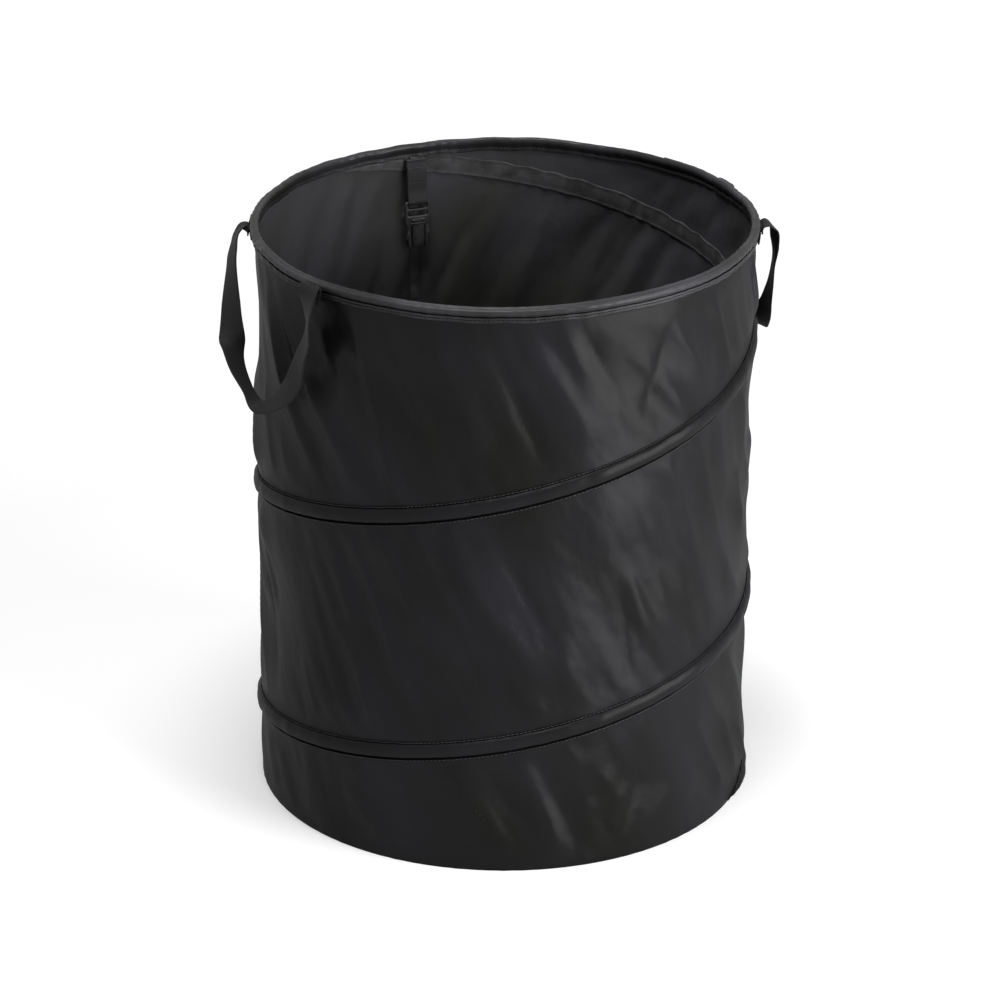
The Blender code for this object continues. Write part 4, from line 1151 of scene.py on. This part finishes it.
def sewn(name, body, slot, rows, pitch=ROW_PITCH, length=ROW_STITCH):
    """Stitches along rows of points, as one plain mesh that rides on a body."""
    lines = bpy.data.meshes.new(name + "_lines")
    starts = np.cumsum([0] + [len(row) for row in rows])
    edges = [(start + i, start + i + 1) for start, row in zip(starts, rows) for i in range(len(row) - 1)]
    lines.from_pydata(np.concatenate(rows).tolist(), edges, [])
    carrier = add_object(name + "_lines", lines)
    sewing = carrier.modifiers.new("sewing", "NODES")
    sewing.node_group = stitch_tree
    values = {"Stitch pitch": pitch, "Stitch length": length, "Thread width": THREAD_WIDE, "Thread": thread}
    for socket in stitch_tree.interface.items_tree:
        if socket.in_out == "INPUT" and socket.name in values:
            sewing[socket.identifier] = values[socket.name]
    return add_piece(mesh_from(carrier, name), thread, body, slot)


def between(row, low, high):
    """The stretch of a row of points that lies between two heights."""
    return row[(row[:, 2] > low) & (row[:, 2] < high)]


def boxed_cross(place, half_wide, high, low, lift):
    """The rows of a sewn box with a cross in it, on a strap's face."""
    across, up, face, top = place
    corners = [(-half_wide, high), (half_wide, high), (half_wide, low), (-half_wide, low)]
    around = corners + [corners[0], corners[2]]
    rows = []
    for a, b in (*zip(around[:-1], around[1:]), (corners[1], corners[3])):
        share = np.linspace(0.0, 1.0, 12)[:, None]
        spot = np.array(a) * (1 - share) + np.array(b) * share
        rows.append(top + across * spot[:, :1] + up * spot[:, 1:] + face * lift)
    return rows


stitch_tree = stitch_row()
thread = sewing_thread()
sleeve_rows = []
for side, out in SLEEVE_STITCHES:
    sleeve_rows.append(between(sleeve_points(side, out)[:, 0], OUTSIDE_LOW, ROWS_HIGH))
seam_heights = np.linspace(OUTSIDE_LOW, ROWS_HIGH, 200)
for side in (-SEAM_STITCHES, SEAM_STITCHES):
    azimuth = SEAM_AZIMUTH + side / WALL_RADIUS
    stand = WALL_RADIUS + NYLON_THICK / 2 + relief(azimuth, seam_heights)
    sleeve_rows.append(at(azimuth, stand, seam_heights))
folds_with_wall(sewn("wall_stitches_outside", "base", "binding_tape", sleeve_rows))
tape_rows = []
for side in (-TAPE_STITCHES, TAPE_STITCHES):
    tape_rows.append(between(tape_points(side, 0.0007)[:, 0], INSIDE_LOW, ROWS_HIGH))
for side in (-SEAM_TAPE_STITCHES, SEAM_TAPE_STITCHES):
    tape_rows.append(seam_tape_points(side, 0.0009)[:, 0])
folds_with_wall(sewn("wall_stitches_inside", "base", "binding_tape", tape_rows))
hem_rows = [hem_points(out, up)[0] for out, up in HEM_STITCHES]
hem_rows = [np.concatenate([row, row[:1]]) for row in hem_rows]
sewn("rim_stitches", "rim", "binding_tape", hem_rows)
for side, middle in HANDLE_MIDDLES.items():
    tacks = []
    for azimuth in (middle - radians(HANDLE_SPREAD), middle + radians(HANDLE_SPREAD)):
        outward, tangent = ways_at(azimuth)
        for share in (0.40, 0.46, 0.72, 0.78):
            spot, width = tab_place(azimuth, share)
            reach = np.linspace(-1.0, 1.0, 8)[:, None] * (width / 2 - TACK_INSET)
            tacks.append(spot + outward * TACK_LIFT + tangent * reach)
    sewn(f"handle_{side}_tacks", "rim", "webbing", tacks, TACK_PITCH, TACK_STITCH)
turns = np.linspace(0.0, 2 * pi, 361)
base_rows = []
for turn in (2.2, 3.5):
    radius = BINDING_MIDDLE[0] + BINDING_ROUND * cos(turn)
    base_rows.append(at(turns, radius, BINDING_MIDDLE[1] + BINDING_ROUND * sin(turn)))
for azimuth in CLOSURE_AZIMUTHS.values():
    base_rows += boxed_cross(lying_frame(azimuth), 0.0075, -0.0010, -0.0090, -BASE_STRAP_SINK)
sewn("base_stitches", "base", "binding_tape", base_rows)
for end, azimuth in CLOSURE_AZIMUTHS.items():
    rows = boxed_cross(hanging_frame(azimuth), 0.0080, -0.0085, -0.0240, 0.00155)
    rows += boxed_cross(hanging_frame(azimuth), 0.0080, -0.0010, -0.0050, 0.0000)[:4]
    sewn(f"closure_{end}_stitches", f"closure_{end}", "webbing", rows, TACK_PITCH, TACK_STITCH)
